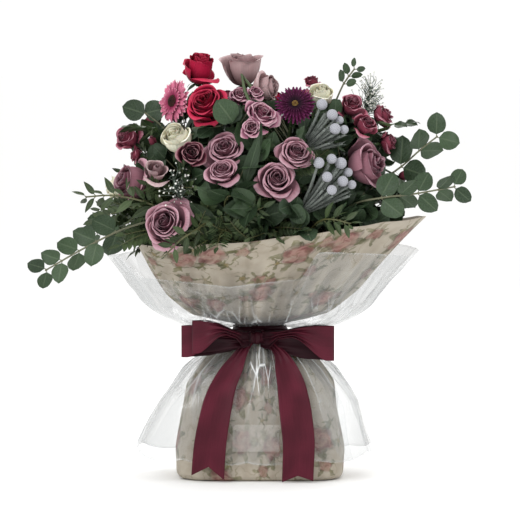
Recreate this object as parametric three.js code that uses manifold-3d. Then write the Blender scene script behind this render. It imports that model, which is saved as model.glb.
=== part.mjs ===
// A gift-wrapped, hand-tied mixed bouquet: cut flowers and foliage bound at a narrow waist, their cut ends
// standing in a clear water bag, wrapped in printed paper and clear film and tied with a satin ribbon bow.
// Millimetres, +Z up, the bow faces -Y. The origin is the middle of the flat underside of the paper wrap.
import * as THREE from "three";
import { mergeVertices } from "three/addons/utils/BufferGeometryUtils.js";
import Module from "manifold-3d";

const wasm = await Module();
wasm.setup();

// ---- Driving dimensions ----
const GAP = 0.35; // clearance between pieces that touch
const PAPER_THICK = 1.0;
const FILM_THICK = 0.8;
const WAIST_Z = 164; // binding point
const STEM_END_Z = 16; // cut ends, inside the water bag
const STEM_PITCH = 5.15; // spacing of the stems where they are bound
const BUNDLE = 22.2; // radius of the bound stems
const TWINE_THICK = 2;
const PAPER_WAIST = BUNDLE + TWINE_THICK + 0.45 + PAPER_THICK;
const FILM_WAIST = PAPER_WAIST + 0.5 + FILM_THICK;
const STEM_SPREAD_BELOW = 1.9; // how far the spiral of stems opens towards the cut ends
const STEM_TWIST_BELOW = 0.7; // radians the hand-tied spiral turns below the binding
const COLLAR_SHIFT = 19; // the collar leans to the right
const COLLAR_TILT = 0.1; // and its right side stands higher
const COLLAR_RISE = 110; // height over which the lean grows
const RIBBON_WIDTH = 38;
const RIBBON_THICK = 0.9;
const LEAF_THICK = 1.2;
const TWIG = 1.3; // radius of a spray's side twigs
const DOWNY_TWIG = 1.7; // radius of the twigs under brunia balls
const BUD_TWIG = 0.6; // radius of the hair-fine twigs under blossoms
const BUD = 1.9; // radius of a blossom
const KNOT_HALF = 7.2; // half the knot's width and height
const KNOT_DEEP = 15;
const PINCHED = 12; // height of a loop where the knot holds it
const LOOP_FULL = 56; // distance from the knot at which a loop has its full height
const TAIL_WIDTH = 34;
const LOOP_SEAT = 1.3; // half the distance between a loop's two ends in the knot
const LABEL = { left: -30, right: 21, low: 31, high: 60, thick: 1.4 };

// How finely the solids are divided.
const WRAP_SIDES = 24;
const HEAD_SIDES = 8;
const STEM_SIDES = 5;
const STEM_STEPS = 11;
const RING_SIDES = 28;
const LOOP_STEPS = 18;

// How the stems settle: points of a route, rounds, and the clearance that they seek.
const ABOVE = 9; // points of a route from the binding to the neck
const BELOW_Z = [STEM_END_Z, 60, 112];
const RELAX_ROUNDS = 90;
const STEM_CLEAR = 0.9;
const RIM_CLEAR = 1.08; // how far inside the paper a stem keeps, as a share
const COLLAR_TOP = 285; // height above which the paper no longer bounds the stems

// ---- The plants ----
// Each head: centre, facing azimuth (0 front, 90 right, 180 back), tilt above level, radius.
const head = (form, x, y, z, azimuth, tilt, radius) => ({
  form, at: new THREE.Vector3(x, y, z), azimuth, tilt, radius,
});
const rose = (...rest) => head("rose", ...rest);
const bud = (...rest) => head("bud", ...rest);
const daisy = (...rest) => head("daisy", ...rest);

const LILAC = 0xa9808c;
const MAUVE = 0x8a4a60;
const CERISE = 0xa5183e;
const CREAM = 0xe4e2cc;
const PINK = 0xc87a92;
const PLUM = 0x6f2f48;
const LEAF = 0x4c6146;
const BLOSSOM = 0xdfe3dc;
const DOWN = 0x9a9ba0;
const SATIN = 0x5a2030;

const FLOWERS = [
  { name: "rose_cerise_top", colour: CERISE, stem: 2.4, heads: [rose(-67, -15, 448, -55, 62, 20)] },
  { name: "rose_cerise_front", colour: CERISE, stem: 2.4, heads: [rose(-61, -66, 414, -25, 35, 24)] },
  { name: "rose_cream_left", colour: CREAM, stem: 2.3, heads: [rose(-92, -72, 376, -50, 42, 20)] },
  { name: "rose_cream_top", colour: CREAM, stem: 2.3, heads: [rose(66, -34, 426, 10, 55, 17)] },
  { name: "rose_cream_side", colour: CREAM, stem: 2.3, heads: [rose(-160, 14, 318, -85, 12, 17)] },
  { name: "rose_lilac_top", colour: LILAC, stem: 2.4, heads: [rose(-19, 4, 448, -10, 78, 24)] },
  { name: "rose_lilac_top_right", colour: LILAC, stem: 2.3, heads: [rose(13, -30, 440, 65, 25, 16)] },
  { name: "rose_lilac_left", colour: LILAC, stem: 2.4, heads: [rose(-141, -52, 331, -75, 10, 22.5)] },
  { name: "rose_lilac_low_left", colour: LILAC, stem: 2.4, heads: [rose(-103, -108, 290, -20, 20, 25)] },
  { name: "rose_lilac_centre", colour: LILAC, stem: 2.4, heads: [rose(-37, -98, 376, -12, 32, 22.5)] },
  { name: "rose_lilac_low_centre", colour: LILAC, stem: 2.3, heads: [rose(-43, -128, 346, -5, 14, 19)] },
  { name: "rose_lilac_middle", colour: LILAC, stem: 2.4, heads: [rose(16, -118, 336, 8, 22, 21)] },
  { name: "rose_lilac_middle_right", colour: LILAC, stem: 2.4, heads: [rose(39, -113, 370, 12, 32, 19.5)] },
  { name: "rose_lilac_right", colour: LILAC, stem: 2.4, heads: [rose(118, -66, 354, 62, 18, 24)] },
  { name: "gerbera_pink", colour: PINK, stem: 2.2, heads: [daisy(-98, -28, 417, -62, 12, 26)] },
  { name: "aster_purple", colour: 0x4d1238, stem: 2.2, heads: [daisy(37, -78, 420, 0, 25, 22)] },
  { name: "lisianthus_pale", colour: 0xb08c92, stem: 2.2, heads: [rose(-112, -86, 345, 12, 48, 13)] },
  {
    name: "spray_rose_left", colour: MAUVE, stem: 2.2,
    heads: [rose(-144, -20, 382, -60, 35, 15), rose(-137, -30, 360, -82, 15, 8.5),
      bud(-118, -28, 376, -30, 60, 7)],
  },
  { name: "spray_rose_plum", colour: PLUM, stem: 2.2, heads: [rose(-76, -104, 367, 10, 20, 16)] },
  {
    name: "spray_rose_centre", colour: MAUVE, stem: 2.2,
    heads: [rose(5, -94, 412, 25, 38, 18), rose(-19, -60, 429, -8, 50, 12), rose(-1, -64, 432, 15, 50, 9),
      rose(-9, -108, 394, -8, 24, 10.5)],
  },
  {
    name: "spray_rose_right", colour: MAUVE, stem: 2.2,
    heads: [rose(98, -38, 418, 22, 45, 16), rose(112, -62, 394, 35, 40, 15), rose(56, -8, 438, 10, 70, 10)],
  },
  {
    name: "spray_rose_far_right", colour: MAUVE, stem: 2.2,
    heads: [rose(136, -14, 402, 70, 35, 15), rose(141, -40, 376, 75, 15, 13), bud(162, -24, 332, 75, 10, 9)],
  },
  // The side that the bow turns away from.
  { name: "rose_lilac_back_left", colour: LILAC, stem: 2.4, heads: [rose(-68, 100, 362, -150, 30, 23)] },
  { name: "rose_lilac_back_middle", colour: LILAC, stem: 2.4, heads: [rose(2, 122, 318, 178, 15, 24)] },
  { name: "rose_lilac_back_right", colour: LILAC, stem: 2.4, heads: [rose(72, 100, 352, 148, 28, 23)] },
  { name: "rose_cerise_back", colour: CERISE, stem: 2.4, heads: [rose(10, 82, 412, 175, 48, 22)] },
  { name: "rose_cream_back", colour: CREAM, stem: 2.3, heads: [rose(-116, 72, 330, -122, 18, 20)] },
  { name: "rose_cream_back_right", colour: CREAM, stem: 2.3, heads: [rose(126, 62, 330, 118, 15, 19)] },
  { name: "gerbera_back", colour: PINK, stem: 2.2, heads: [daisy(58, 66, 410, 150, 40, 25)] },
  {
    name: "spray_rose_back", colour: MAUVE, stem: 2.2,
    heads: [rose(-40, 76, 414, -165, 48, 15), rose(-86, 56, 404, -135, 40, 14),
      rose(-6, 116, 366, 180, 30, 14)],
  },
  {
    name: "spray_rose_back_side", colour: MAUVE, stem: 2.2,
    heads: [rose(-138, 30, 366, -105, 25, 14), rose(-120, 34, 392, -110, 45, 12)],
  },
];

// Silver brunia: felted balls on short upright twigs, two bunches at the right of the front and one behind.
const ball = (x, y, z, r) => ({ at: new THREE.Vector3(x, y, z), radius: r });
const BRUNIAS = [
  {
    name: "brunia_upper", knot: [46, -78, 380],
    balls: [ball(67, -84, 419, 6), ball(78, -92, 408, 6), ball(86, -86, 402, 4.6), ball(81, -100, 393, 6),
      ball(91, -92, 392, 4.8)],
  },
  {
    name: "brunia_lower", knot: [52, -104, 322],
    balls: [ball(63, -126, 361, 6), ball(77, -116, 365, 5.4), ball(87, -108, 360, 6.4),
      ball(95, -102, 350, 5), ball(72, -128, 346, 5.6), ball(89, -118, 341, 5.8),
      ball(77, -130, 332, 5.4), ball(99, -108, 337, 4.8)],
  },
  {
    name: "brunia_back", knot: [34, 96, 352],
    balls: [ball(30, 122, 386, 6), ball(44, 122, 378, 5.6), ball(20, 116, 392, 5.2), ball(42, 112, 392, 5.4),
      ball(54, 118, 392, 4.6)],
  },
];

// Foliage: the branch's own bends after it leaves the bunch, and its leaves.
// A leaf: how far along the branch (0 to 1), turn round the branch in degrees, length, width.
const leafPairs = (count, from, to, length, width, turn = 0) => {
  const made = [];
  for (let i = 0; i < count; i++) {
    const share = from + ((to - from) * i) / Math.max(1, count - 1);
    const small = 1 - 0.35 * (i / count);
    made.push([share, turn + (i % 2) * 70, length * small, width * small]);
    made.push([share, turn + 180 + (i % 2) * 70, length * small, width * small]);
  }
  return made;
};
const FOLIAGE = [
  {
    name: "eucalyptus_left", bends: [[-104, -64, 284], [-146, -64, 276], [-192, -66, 254], [-234, -68, 230]],
    leaves: leafPairs(5, 0.38, 1, 30, 24, 60),
  },
  {
    name: "eucalyptus_right", bends: [[96, -84, 300], [132, -88, 310], [166, -86, 314], [212, -80, 322]],
    leaves: leafPairs(5, 0.3, 1, 30, 24, 70),
  },
  {
    name: "eucalyptus_right_upper",
    bends: [[122, -22, 318], [154, -42, 342], [176, -48, 362], [194, -50, 376]],
    leaves: leafPairs(3, 0.45, 1, 32, 27, 80),
  },
  {
    name: "eucalyptus_round_left", bends: [[-92, -18, 372], [-106, -14, 388], [-124, -8, 402]],
    leaves: [[0.7, 200, 30, 28], [1, 20, 30, 28], [0.85, 110, 26, 24]],
  },
  {
    name: "eucalyptus_back", bends: [[-96, 92, 300], [-128, 108, 300], [-160, 124, 284], [-186, 134, 262]],
    leaves: leafPairs(4, 0.4, 1, 29, 24, 60),
  },
  {
    name: "eucalyptus_twig_top", bends: [[88, -4, 432], [92, -6, 444], [98, -8, 456]],
    leaves: leafPairs(3, 0.3, 1, 15, 7, 60),
  },
  {
    name: "salal_front", bends: [[-38, -112, 300], [-36, -124, 310], [-34, -132, 314]],
    leaves: [[0.5, 20, 40, 26], [0.5, 200, 40, 26], [1, 300, 36, 24], [1, 110, 32, 22]],
  },
  {
    name: "salal_back", bends: [[30, 106, 290], [34, 118, 292], [40, 128, 292]],
    leaves: [[0.5, 20, 40, 26], [0.5, 200, 40, 26], [1, 300, 36, 24]],
  },
  {
    name: "pistacia_left", bends: [[-96, -76, 296], [-128, -78, 306], [-160, -72, 312], [-190, -64, 310]],
    leaves: leafPairs(4, 0.3, 1, 26, 9, 40),
  },
  {
    name: "pistacia_front", bends: [[-54, -112, 284], [-70, -134, 276], [-84, -142, 268], [-98, -146, 254]],
    leaves: leafPairs(3, 0.4, 1, 22, 8, 20),
  },
  {
    name: "pistacia_right", bends: [[62, -104, 284], [78, -120, 288], [96, -128, 284]],
    leaves: leafPairs(3, 0.4, 1, 22, 8, 20),
  },
  {
    name: "gypsophila_right", bends: [[112, 12, 404], [118, 6, 420], [122, 2, 434]],
    buds: 5,
  },
  {
    name: "gypsophila_left", bends: [[-88, -92, 312], [-92, -100, 322], [-92, -106, 330]],
    buds: 4,
  },
];

// ---- Solids ----
function solidFrom(geometry) {
  const bare = geometry.index ? geometry.toNonIndexed() : geometry.clone();
  bare.deleteAttribute("normal");
  bare.deleteAttribute("uv");
  const merged = mergeVertices(bare, 1e-4);
  const corners = new Uint32Array(merged.index.array);
  const vertProperties = merged.attributes.position.array;
  const make = () => new wasm.Manifold(new wasm.Mesh({ numProp: 3, vertProperties, triVerts: corners }));
  const made = make();
  if (made.volume() >= 0) return made;
  for (let i = 0; i < corners.length; i += 3) {
    [corners[i + 1], corners[i + 2]] = [corners[i + 2], corners[i + 1]];
  }
  return make();
}

function geometryFrom(solid) {
  const mesh = solid.getMesh();
  const points = new Float32Array(mesh.numVert * 3);
  for (let i = 0; i < mesh.numVert; i++) {
    const start = i * mesh.numProp;
    points.set(mesh.vertProperties.subarray(start, start + 3), i * 3);
  }
  const geometry = new THREE.BufferGeometry().setAttribute("position", new THREE.BufferAttribute(points, 3));
  geometry.setIndex(new THREE.BufferAttribute(mesh.triVerts, 1));
  geometry.computeVertexNormals();
  return geometry;
}

const polygon = (sides, radius) =>
  new THREE.Shape(Array.from({ length: sides }, (_, i) => {
    const turn = (2 * Math.PI * i) / sides;
    return new THREE.Vector2(radius * Math.cos(turn), radius * Math.sin(turn));
  }));

function tube(points, radius, steps, sides = STEM_SIDES) {
  const path = points.length > 2 ? new THREE.CatmullRomCurve3(points) : new THREE.LineCurve3(...points);
  const options = { extrudePath: path, steps, bevelEnabled: false };
  return solidFrom(new THREE.ExtrudeGeometry(polygon(sides, radius), options));
}

// A lathe profile of [radius, height] turned about an axis that starts at a point.
function turned(profile, start, axis, sides) {
  const geometry = new THREE.LatheGeometry(profile.map(([r, h]) => new THREE.Vector2(r, h)), sides);
  const turn = new THREE.Quaternion().setFromUnitVectors(new THREE.Vector3(0, 1, 0), axis);
  geometry.applyMatrix4(new THREE.Matrix4().compose(start, turn, new THREE.Vector3(1, 1, 1)));
  return solidFrom(geometry);
}

// ---- Flower heads ----
const rad = THREE.MathUtils.degToRad;
function facing(h) {
  const a = rad(h.azimuth);
  const t = rad(h.tilt);
  return new THREE.Vector3(Math.cos(t) * Math.sin(a), -Math.cos(t) * Math.cos(a), Math.sin(t));
}

// How deep each form sits behind its own centre, as a share of its radius.
const NECK_DEPTH = { rose: 0.72, bud: 1.1, daisy: 0.3 };
const neckOf = (h) => h.at.clone().addScaledVector(facing(h), -NECK_DEPTH[h.form] * h.radius);

const HEAD_PROFILES = {
  rose: [[0, -0.1], [0.2, -0.06], [0.8, 0.36], [1, 0.8], [0.85, 1.14], [0, 1.16]],
  bud: [[0, -0.15], [0.35, -0.05], [0.95, 0.7], [0.7, 1.6], [0, 2.05]],
  daisy: [[0, -0.15], [0.2, -0.12], [1, 0.2], [1, 0.34], [0.3, 0.4], [0, 0.44]],
};
const LARGE_HEAD = 16; // radius above which a head has its full number of sides
function headSolid(h, grow) {
  const profile = HEAD_PROFILES[h.form].map(([r, t]) => {
    const under = r < 0.5 && t < 0.5;
    const over = t > 1;
    const height = t * h.radius + (under ? -grow : over ? grow : 0);
    return [r === 0 ? 0 : r * h.radius + grow, height];
  });
  return turned(profile, neckOf(h), facing(h), h.radius > LARGE_HEAD ? HEAD_SIDES : HEAD_SIDES - 2);
}

// ---- The wrap's shape, shared by every layer ----
// Superellipse plan: square-shouldered at the base, round at the waist and in the collar.
const smooth = (value, low, high) => THREE.MathUtils.smoothstep(value, low, high);
const squareness = (z) => 2 + 2.6 * (1 - smooth(z, 60, 150));
const lean = (z) => Math.max(0, Math.min(1.1, (z - WAIST_Z) / COLLAR_RISE));

function wrapPoint(radius, turn, z, depthShare, shift) {
  const n = squareness(z);
  const across = Math.abs(Math.sin(turn)) ** n + (Math.abs(Math.cos(turn)) / depthShare(z)) ** n;
  const reach = radius / across ** (1 / n);
  const t = lean(z);
  const x = reach * Math.sin(turn) + shift * t * t;
  return new THREE.Vector3(x, -reach * Math.cos(turn), z + COLLAR_TILT * (shift / COLLAR_SHIFT) * x * t);
}

function between(z, rows) {
  for (let i = 1; i < rows.length; i++) {
    if (z > rows[i][0] && i < rows.length - 1) continue;
    const share = THREE.MathUtils.clamp((z - rows[i - 1][0]) / (rows[i][0] - rows[i - 1][0]), 0, 1);
    return rows[i - 1][1] + share * (rows[i][1] - rows[i - 1][1]);
  }
}

// Depth front to back, as a share of the width, at each height.
const PAPER_DEPTH = [[0, 0.78], [103, 0.76], [132, 0.8], [158, 1], [170, 1], [200, 0.82], [268, 0.76]];
const FILM_DEPTH = [[28, 0.62], [62, 0.62], [105, 0.685], [133, 0.77], [158, 1], [168, 1], [200, 0.76],
  [245, 0.75]];
const BAG_DEPTH = [[0, 0.84], [112, 0.9], [145, 1]];
const paperDepth = (z) => between(z, PAPER_DEPTH);
const filmDepth = (z) => between(z, FILM_DEPTH);
const bagDepth = (z) => between(z, BAG_DEPTH);

// Outer outline, [half width, height], from the bottom up.
const COLLAR_OUTLINE = [[PAPER_WAIST, 168], [52, 178], [97, 203], [140, 247], [160, 268]];
const PAPER_OUTLINE = [[88, 0], [92, 4], [92, 32], [80, 103], [60, 132], [30, 156], [PAPER_WAIST, 160],
  ...COLLAR_OUTLINE];
const FILM_OUTLINE = [[126, 40], [106, 84], [80, 120], [66, 133], [32.4, 157.2],
  [FILM_WAIST, 161], [FILM_WAIST, 167], [60, 174.5], [100, 183], [128, 201], [168, 243]];
const BAG_FLOOR = PAPER_THICK + GAP;
const BAG_OUTLINE = [[62, BAG_FLOOR], [66, 6], [68, 40], [56, 112], [40, 136], [26, 150], [24.6, 156.5]];

// The outline moved along its own normal.
function offsetOutline(outline, distance) {
  return outline.map(([r, z], i) => {
    const before = outline[Math.max(0, i - 1)];
    const after = outline[Math.min(outline.length - 1, i + 1)];
    const run = Math.hypot(after[0] - before[0], after[1] - before[1]);
    return [r + (distance * (after[1] - before[1])) / run, z - (distance * (after[0] - before[0])) / run];
  });
}

function shell(outline, thick, grow, depthShare, { shift = 0, floor = null, hem = 0 } = {}) {
  const outer = offsetOutline(outline, grow);
  const inner = offsetOutline(outline, -thick - grow).reverse();
  if (floor !== null) {
    outer[0] = [outline[0][0], floor - grow];
    outer.unshift([0, floor - grow]);
    inner[inner.length - 1] = [outline[0][0] - thick, floor + thick + grow];
    inner.push([0, floor + thick + grow]);
  }
  const profile = [...outer, ...inner];
  if (floor === null) profile.push(outer[0]);
  const geometry = new THREE.LatheGeometry(profile.map(([r, z]) => new THREE.Vector2(r, z)), WRAP_SIDES);
  const at = geometry.attributes.position;
  for (let i = 0; i < at.count; i++) {
    const radius = Math.hypot(at.getX(i), at.getZ(i));
    const turn = Math.atan2(at.getX(i), at.getZ(i));
    const z = at.getY(i);
    const p = wrapPoint(radius, turn, z, depthShare, shift);
    p.z -= hem * Math.cos(2 * turn) * (1 - smooth(z, 40, 110));
    at.setXYZ(i, p.x, p.y, p.z);
  }
  return solidFrom(geometry);
}

const paperWrap = (grow) =>
  shell(PAPER_OUTLINE, PAPER_THICK, grow, paperDepth, { shift: COLLAR_SHIFT, floor: 0 });
const filmWrap = (grow) => shell(FILM_OUTLINE, FILM_THICK, grow, filmDepth, { shift: 4, hem: 10 });
const waterBag = (grow) => shell(BAG_OUTLINE, FILM_THICK, grow, bagDepth, { floor: BAG_FLOOR });

// Half the room that the paper leaves for a stem, in the direction of a point of that height.
function collarRoom(p) {
  const t = lean(p.z);
  const x = p.x - COLLAR_SHIFT * t * t;
  const radius = between(p.z - COLLAR_TILT * p.x * t, COLLAR_OUTLINE.map(([r, z]) => [z, r]));
  const turn = Math.atan2(x, -p.y);
  const reach = radius / Math.hypot(Math.sin(turn), Math.cos(turn) / paperDepth(p.z));
  return reach / Math.max(1e-6, Math.hypot(x, p.y));
}

// ---- Stems: each keeps its own slot at the binding and settles clear of the others above it ----
const SLOT_ROWS = 6;

function slotsAtWaist(count) {
  const slots = [];
  for (let row = -SLOT_ROWS; row <= SLOT_ROWS; row++)
    for (let column = -SLOT_ROWS; column <= SLOT_ROWS; column++) {
      const half = (row & 1) / 2;
      slots.push(new THREE.Vector2((column + half) * STEM_PITCH, row * STEM_PITCH * Math.sqrt(0.75)));
    }
  return slots.sort((a, b) => a.length() - b.length() || a.x - b.x || a.y - b.y).slice(0, count);
}

// Gives each plant the slot nearest the way it leans, then swaps pairs while that shortens the whole.
function giveSlots(plants) {
  const slots = slotsAtWaist(plants.length);
  const reach = slots.at(-1).length();
  const lever = (p) => p.neck.z - WAIST_Z + 60;
  const leans = plants.map((p) => new THREE.Vector2(p.neck.x, p.neck.y).divideScalar(lever(p)));
  const widest = Math.max(...leans.map((v) => v.length()));
  const wanted = leans.map((v) => v.clone().multiplyScalar(reach / widest));
  const cost = (i, slot) => wanted[i].distanceToSquared(slots[slot]);
  const given = plants.map((_, i) => i);
  for (let changed = true; changed;) {
    changed = false;
    for (let i = 0; i < plants.length; i++)
      for (let j = i + 1; j < plants.length; j++)
        if (cost(i, given[j]) + cost(j, given[i]) < cost(i, given[i]) + cost(j, given[j]) - 1e-9) {
          [given[i], given[j]] = [given[j], given[i]];
          changed = true;
        }
  }
  plants.forEach((p, i) => (p.slot = slots[given[i]]));
}

// Each route spirals up from the cut end to its slot, then bends over to meet the neck along its axis.
const UPWARD = new THREE.Vector3(0, 0, 1);
function firstRoute(plant) {
  const { slot, neck, axis } = plant;
  const route = BELOW_Z.map((z) => {
    const share = (WAIST_Z - z) / (WAIST_Z - STEM_END_Z);
    const out = 1 + (STEM_SPREAD_BELOW - 1) * share;
    const turn = STEM_TWIST_BELOW * share;
    return new THREE.Vector3(out * slot.x, out * slot.y, z).applyAxisAngle(UPWARD, turn);
  });
  const start = new THREE.Vector3(slot.x, slot.y, WAIST_Z);
  const span = start.distanceTo(neck);
  const leaving = start.clone().add(new THREE.Vector3(slot.x * 0.5, slot.y * 0.5, 0.3 * span));
  const arriving = neck.clone().addScaledVector(axis, -0.25 * span);
  const curve = new THREE.CubicBezierCurve3(start, leaving, arriving, neck);
  for (let i = 0; i < ABOVE; i++) route.push(curve.getPoint(i / (ABOVE - 1)));
  plant.route = route;
}

// Closest points of two segments, as shares along each.
function closest(a, b, c, d) {
  const u = b.clone().sub(a);
  const v = d.clone().sub(c);
  const w = a.clone().sub(c);
  const uu = u.dot(u);
  const uv = u.dot(v);
  const vv = v.dot(v);
  const limit = (x) => Math.min(1, Math.max(0, x));
  const det = uu * vv - uv * uv;
  let s = det < 1e-9 ? 0 : limit((uv * v.dot(w) - vv * u.dot(w)) / det);
  let t = limit((uv * s + v.dot(w)) / vv);
  s = limit((uv * t - u.dot(w)) / uu);
  return [s, t, u.multiplyScalar(s).add(a).sub(v.multiplyScalar(t).add(c))];
}

const FIRST_FREE = BELOW_Z.length + 2;
const LAST_FREE = BELOW_Z.length + ABOVE - 3;
const move = (plant, i, by, share) => {
  if (i >= FIRST_FREE && i <= LAST_FREE) plant.route[i].addScaledVector(by, share);
};

const HEIGHT_SPARE = 8; // two stretches further apart in height than this can't touch
const higher = (a, b, c, d) => Math.min(a.z, b.z) > Math.max(c.z, d.z) + HEIGHT_SPARE;

// Two stretches of two stems move apart by what they lack.
function partStretches(p, i, q, j) {
  const [a, b, c, d] = [p.route[i], p.route[i + 1], q.route[j], q.route[j + 1]];
  if (higher(a, b, c, d) || higher(c, d, a, b)) return;
  const [s, t, apart] = closest(a, b, c, d);
  const need = p.stem + q.stem + STEM_CLEAR;
  const now = apart.length();
  if (now >= need) return;
  const push = now > 1e-6 ? apart.multiplyScalar((0.5 * (need - now)) / now) : new THREE.Vector3(0.5, 0.3, 0);
  move(p, i, push, 1 - s);
  move(p, i + 1, push, s);
  move(q, j, push, t - 1);
  move(q, j + 1, push, -t);
}

function partStems(p, q) {
  for (let i = FIRST_FREE - 1; i < p.route.length - 1; i++)
    for (let j = FIRST_FREE - 1; j < q.route.length - 1; j++) partStretches(p, i, q, j);
}

// A stem moves out of the room of a head that another stem carries.
function leaveHead(plant, h) {
  const above = h.middle.clone().addScaledVector(UPWARD, 0.01);
  for (let i = FIRST_FREE - 1; i < plant.route.length - 1; i++) {
    const [s, , apart] = closest(plant.route[i], plant.route[i + 1], h.middle, above);
    const need = h.room + plant.stem + STEM_CLEAR;
    const now = apart.length();
    if (now >= need) continue;
    const push = apart.multiplyScalar((0.6 * (need - now)) / Math.max(now, 1e-6));
    move(plant, i, push, 1 - s);
    move(plant, i + 1, push, s);
  }
}

// Its bends even out a little, and it stays inside the paper.
function ease(plant) {
  for (let i = FIRST_FREE; i <= LAST_FREE; i++) {
    const at = plant.route[i];
    at.lerp(plant.route[i - 1].clone().add(plant.route[i + 1]).multiplyScalar(0.5), 0.06);
    const room = collarRoom(at);
    if (at.z >= COLLAR_TOP || room >= RIM_CLEAR) continue;
    at.x *= room / RIM_CLEAR;
    at.y *= room / RIM_CLEAR;
  }
}

function settleStems(plants, heads) {
  for (let round = 0; round < RELAX_ROUNDS; round++) {
    plants.forEach((p, i) => plants.slice(i + 1).forEach((q) => partStems(p, q)));
    for (const plant of plants) heads.filter((h) => h.plant !== plant).forEach((h) => leaveHead(plant, h));
    plants.forEach(ease);
  }
}

// ---- Plants as solids ----
const stemSolid = (plant, grow) => tube(plant.route, plant.stem + grow, STEM_STEPS);

function flowerSolid(plant, grow) {
  let made = stemSolid(plant, grow);
  plant.heads.forEach((h, i) => {
    if (i > 0) made = made.add(tube(sideTwig(plant, h), TWIG + grow, 3, 4));
    made = made.add(headSolid(h, grow));
  });
  return made;
}

// A side twig of a spray leaves the main stem a little below its head and bends to the side head's neck.
function sideTwig(plant, h) {
  const fork = plant.route.at(-3);
  const neck = neckOf(h);
  const back = neck.clone().addScaledVector(facing(h), -0.4 * fork.distanceTo(neck));
  return [fork, fork.clone().lerp(back, 0.6), neck.clone().addScaledVector(facing(h), 0.08 * h.radius)];
}

function bruniaSolid(plant, grow) {
  let made = stemSolid(plant, grow);
  for (const b of plant.balls) {
    const fork = plant.route.at(-1);
    made = made.add(tube([fork, b.at], DOWNY_TWIG + grow, 1, 4));
    const sphere = new THREE.SphereGeometry(b.radius + grow, 6, 4);
    made = made.add(solidFrom(sphere.translate(b.at.x, b.at.y, b.at.z)));
  }
  return made;
}

// A leaf plate: pointed oval, its stalk end inside the branch.
function leafSolid(start, along, up, length, width, grow) {
  const half = width / 2 + grow;
  const stalk = 0.8 + grow;
  const outline = [[0, -stalk], [0.4, -half], [1, -0.2 * half], [1, 0.2 * half], [0.4, half], [0, stalk]];
  const shape = new THREE.Shape(outline.map(([share, y]) => new THREE.Vector2(share * (length + grow), y)));
  const plate = new THREE.ExtrudeGeometry(shape, { depth: LEAF_THICK + 2 * grow, bevelEnabled: false });
  plate.translate(0, 0, -LEAF_THICK / 2 - grow);
  const side = new THREE.Vector3().crossVectors(up, along).normalize();
  const normal = new THREE.Vector3().crossVectors(along, side);
  plate.applyMatrix4(new THREE.Matrix4().makeBasis(along, side, normal).setPosition(start));
  return solidFrom(plate);
}

const LAST_LEAF = 0.985; // a leaf at the tip starts this far along its branch
function leafOn(branch, stem, [share, turn, length, width], grow) {
  const start = branch.getPoint(Math.min(share, LAST_LEAF));
  const ahead = branch.getTangent(Math.min(share, LAST_LEAF));
  const out = UPWARD.clone().cross(ahead).normalize().applyAxisAngle(ahead, rad(turn));
  const along = out.clone().multiplyScalar(0.8).addScaledVector(ahead, 0.6).normalize();
  const up = new THREE.Vector3().crossVectors(ahead, out).normalize();
  return leafSolid(start.addScaledVector(along, 0.3 * stem), along, up, length, width, grow);
}

// The blossoms stand round the tip of their branch, each a little higher than the last.
function budOn(branch, i, count, grow) {
  const fork = branch.getPoint(0.2 + (0.6 * i) / count);
  const turn = i * 2.4;
  const tip = fork.clone().add(new THREE.Vector3(9 * Math.cos(turn), 9 * Math.sin(turn), 10 + 1.5 * i));
  const blossom = new THREE.SphereGeometry(BUD + grow, 5, 3).translate(tip.x, tip.y, tip.z);
  return tube([fork, fork.clone().lerp(tip, 0.5), tip], BUD_TWIG + grow, 1, 3).add(solidFrom(blossom));
}

function foliageSolid(plant, grow) {
  const branch = new THREE.CatmullRomCurve3([plant.route.at(-1), ...plant.tail]);
  let made = tube([...plant.route, ...plant.tail], plant.stem + grow, STEM_STEPS + 2 * plant.tail.length);
  for (const row of plant.leaves ?? []) made = made.add(leafOn(branch, plant.stem, row, grow));
  const buds = plant.buds ?? 0;
  for (let i = 0; i < buds; i++) made = made.add(budOn(branch, i, buds, grow));
  return made;
}

// ---- Ribbon ----
const KNOT_AT = new THREE.Vector3(-5, -41, WAIST_Z);
const BOW_LOOPS = [
  {
    name: "bow_loop_left_back", side: -1, reach: 81, root: -39,
    front: -56.5, back: -51, middle: 150, width: 35,
  },
  {
    name: "bow_loop_left_front", side: -1, reach: 69, root: -45,
    front: -67, back: -60, middle: 157, width: 35,
  },
  {
    name: "bow_loop_right", side: 1, reach: 86, root: -42,
    front: -61, back: -52, middle: 151, width: RIBBON_WIDTH,
  },
];
// Each tail: [height, middle] of its fall, height of its lower end, and its swallowtail cut at left,
// middle and right.
const BOW_TAILS = [
  {
    name: "bow_tail_left", end: 3, notch: [-2.6, 12, 0],
    centres: [[0, -57], [37, -55], [64, -51], [97, -43], [122, -31], [139, -21], [157, -9]],
  },
  {
    name: "bow_tail_right", end: 1, notch: [3, 9, -0.6],
    centres: [[0, 41], [37, 43], [77, 39], [118, 32], [139, 18], [157, -1]],
  },
];

const flat = (corners) => new THREE.Shape(corners.map(([x, z]) => new THREE.Vector2(x, z)));

function knotSolid() {
  const half = KNOT_HALF;
  const soft = 0.6 * half;
  const corners = [[-half, -soft], [-soft, -half], [soft, -half], [half, -soft], [half, soft], [soft, half],
    [-soft, half], [-half, soft]];
  const bevel = { bevelThickness: 2, bevelSize: 1.4, bevelOffset: -1.4, bevelSegments: 1 };
  const geometry = new THREE.ExtrudeGeometry(flat(corners), { depth: KNOT_DEEP - 4, ...bevel });
  geometry.rotateX(Math.PI / 2);
  geometry.translate(KNOT_AT.x, KNOT_AT.y + KNOT_DEEP / 2 - 2, KNOT_AT.z);
  return solidFrom(geometry);
}

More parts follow.
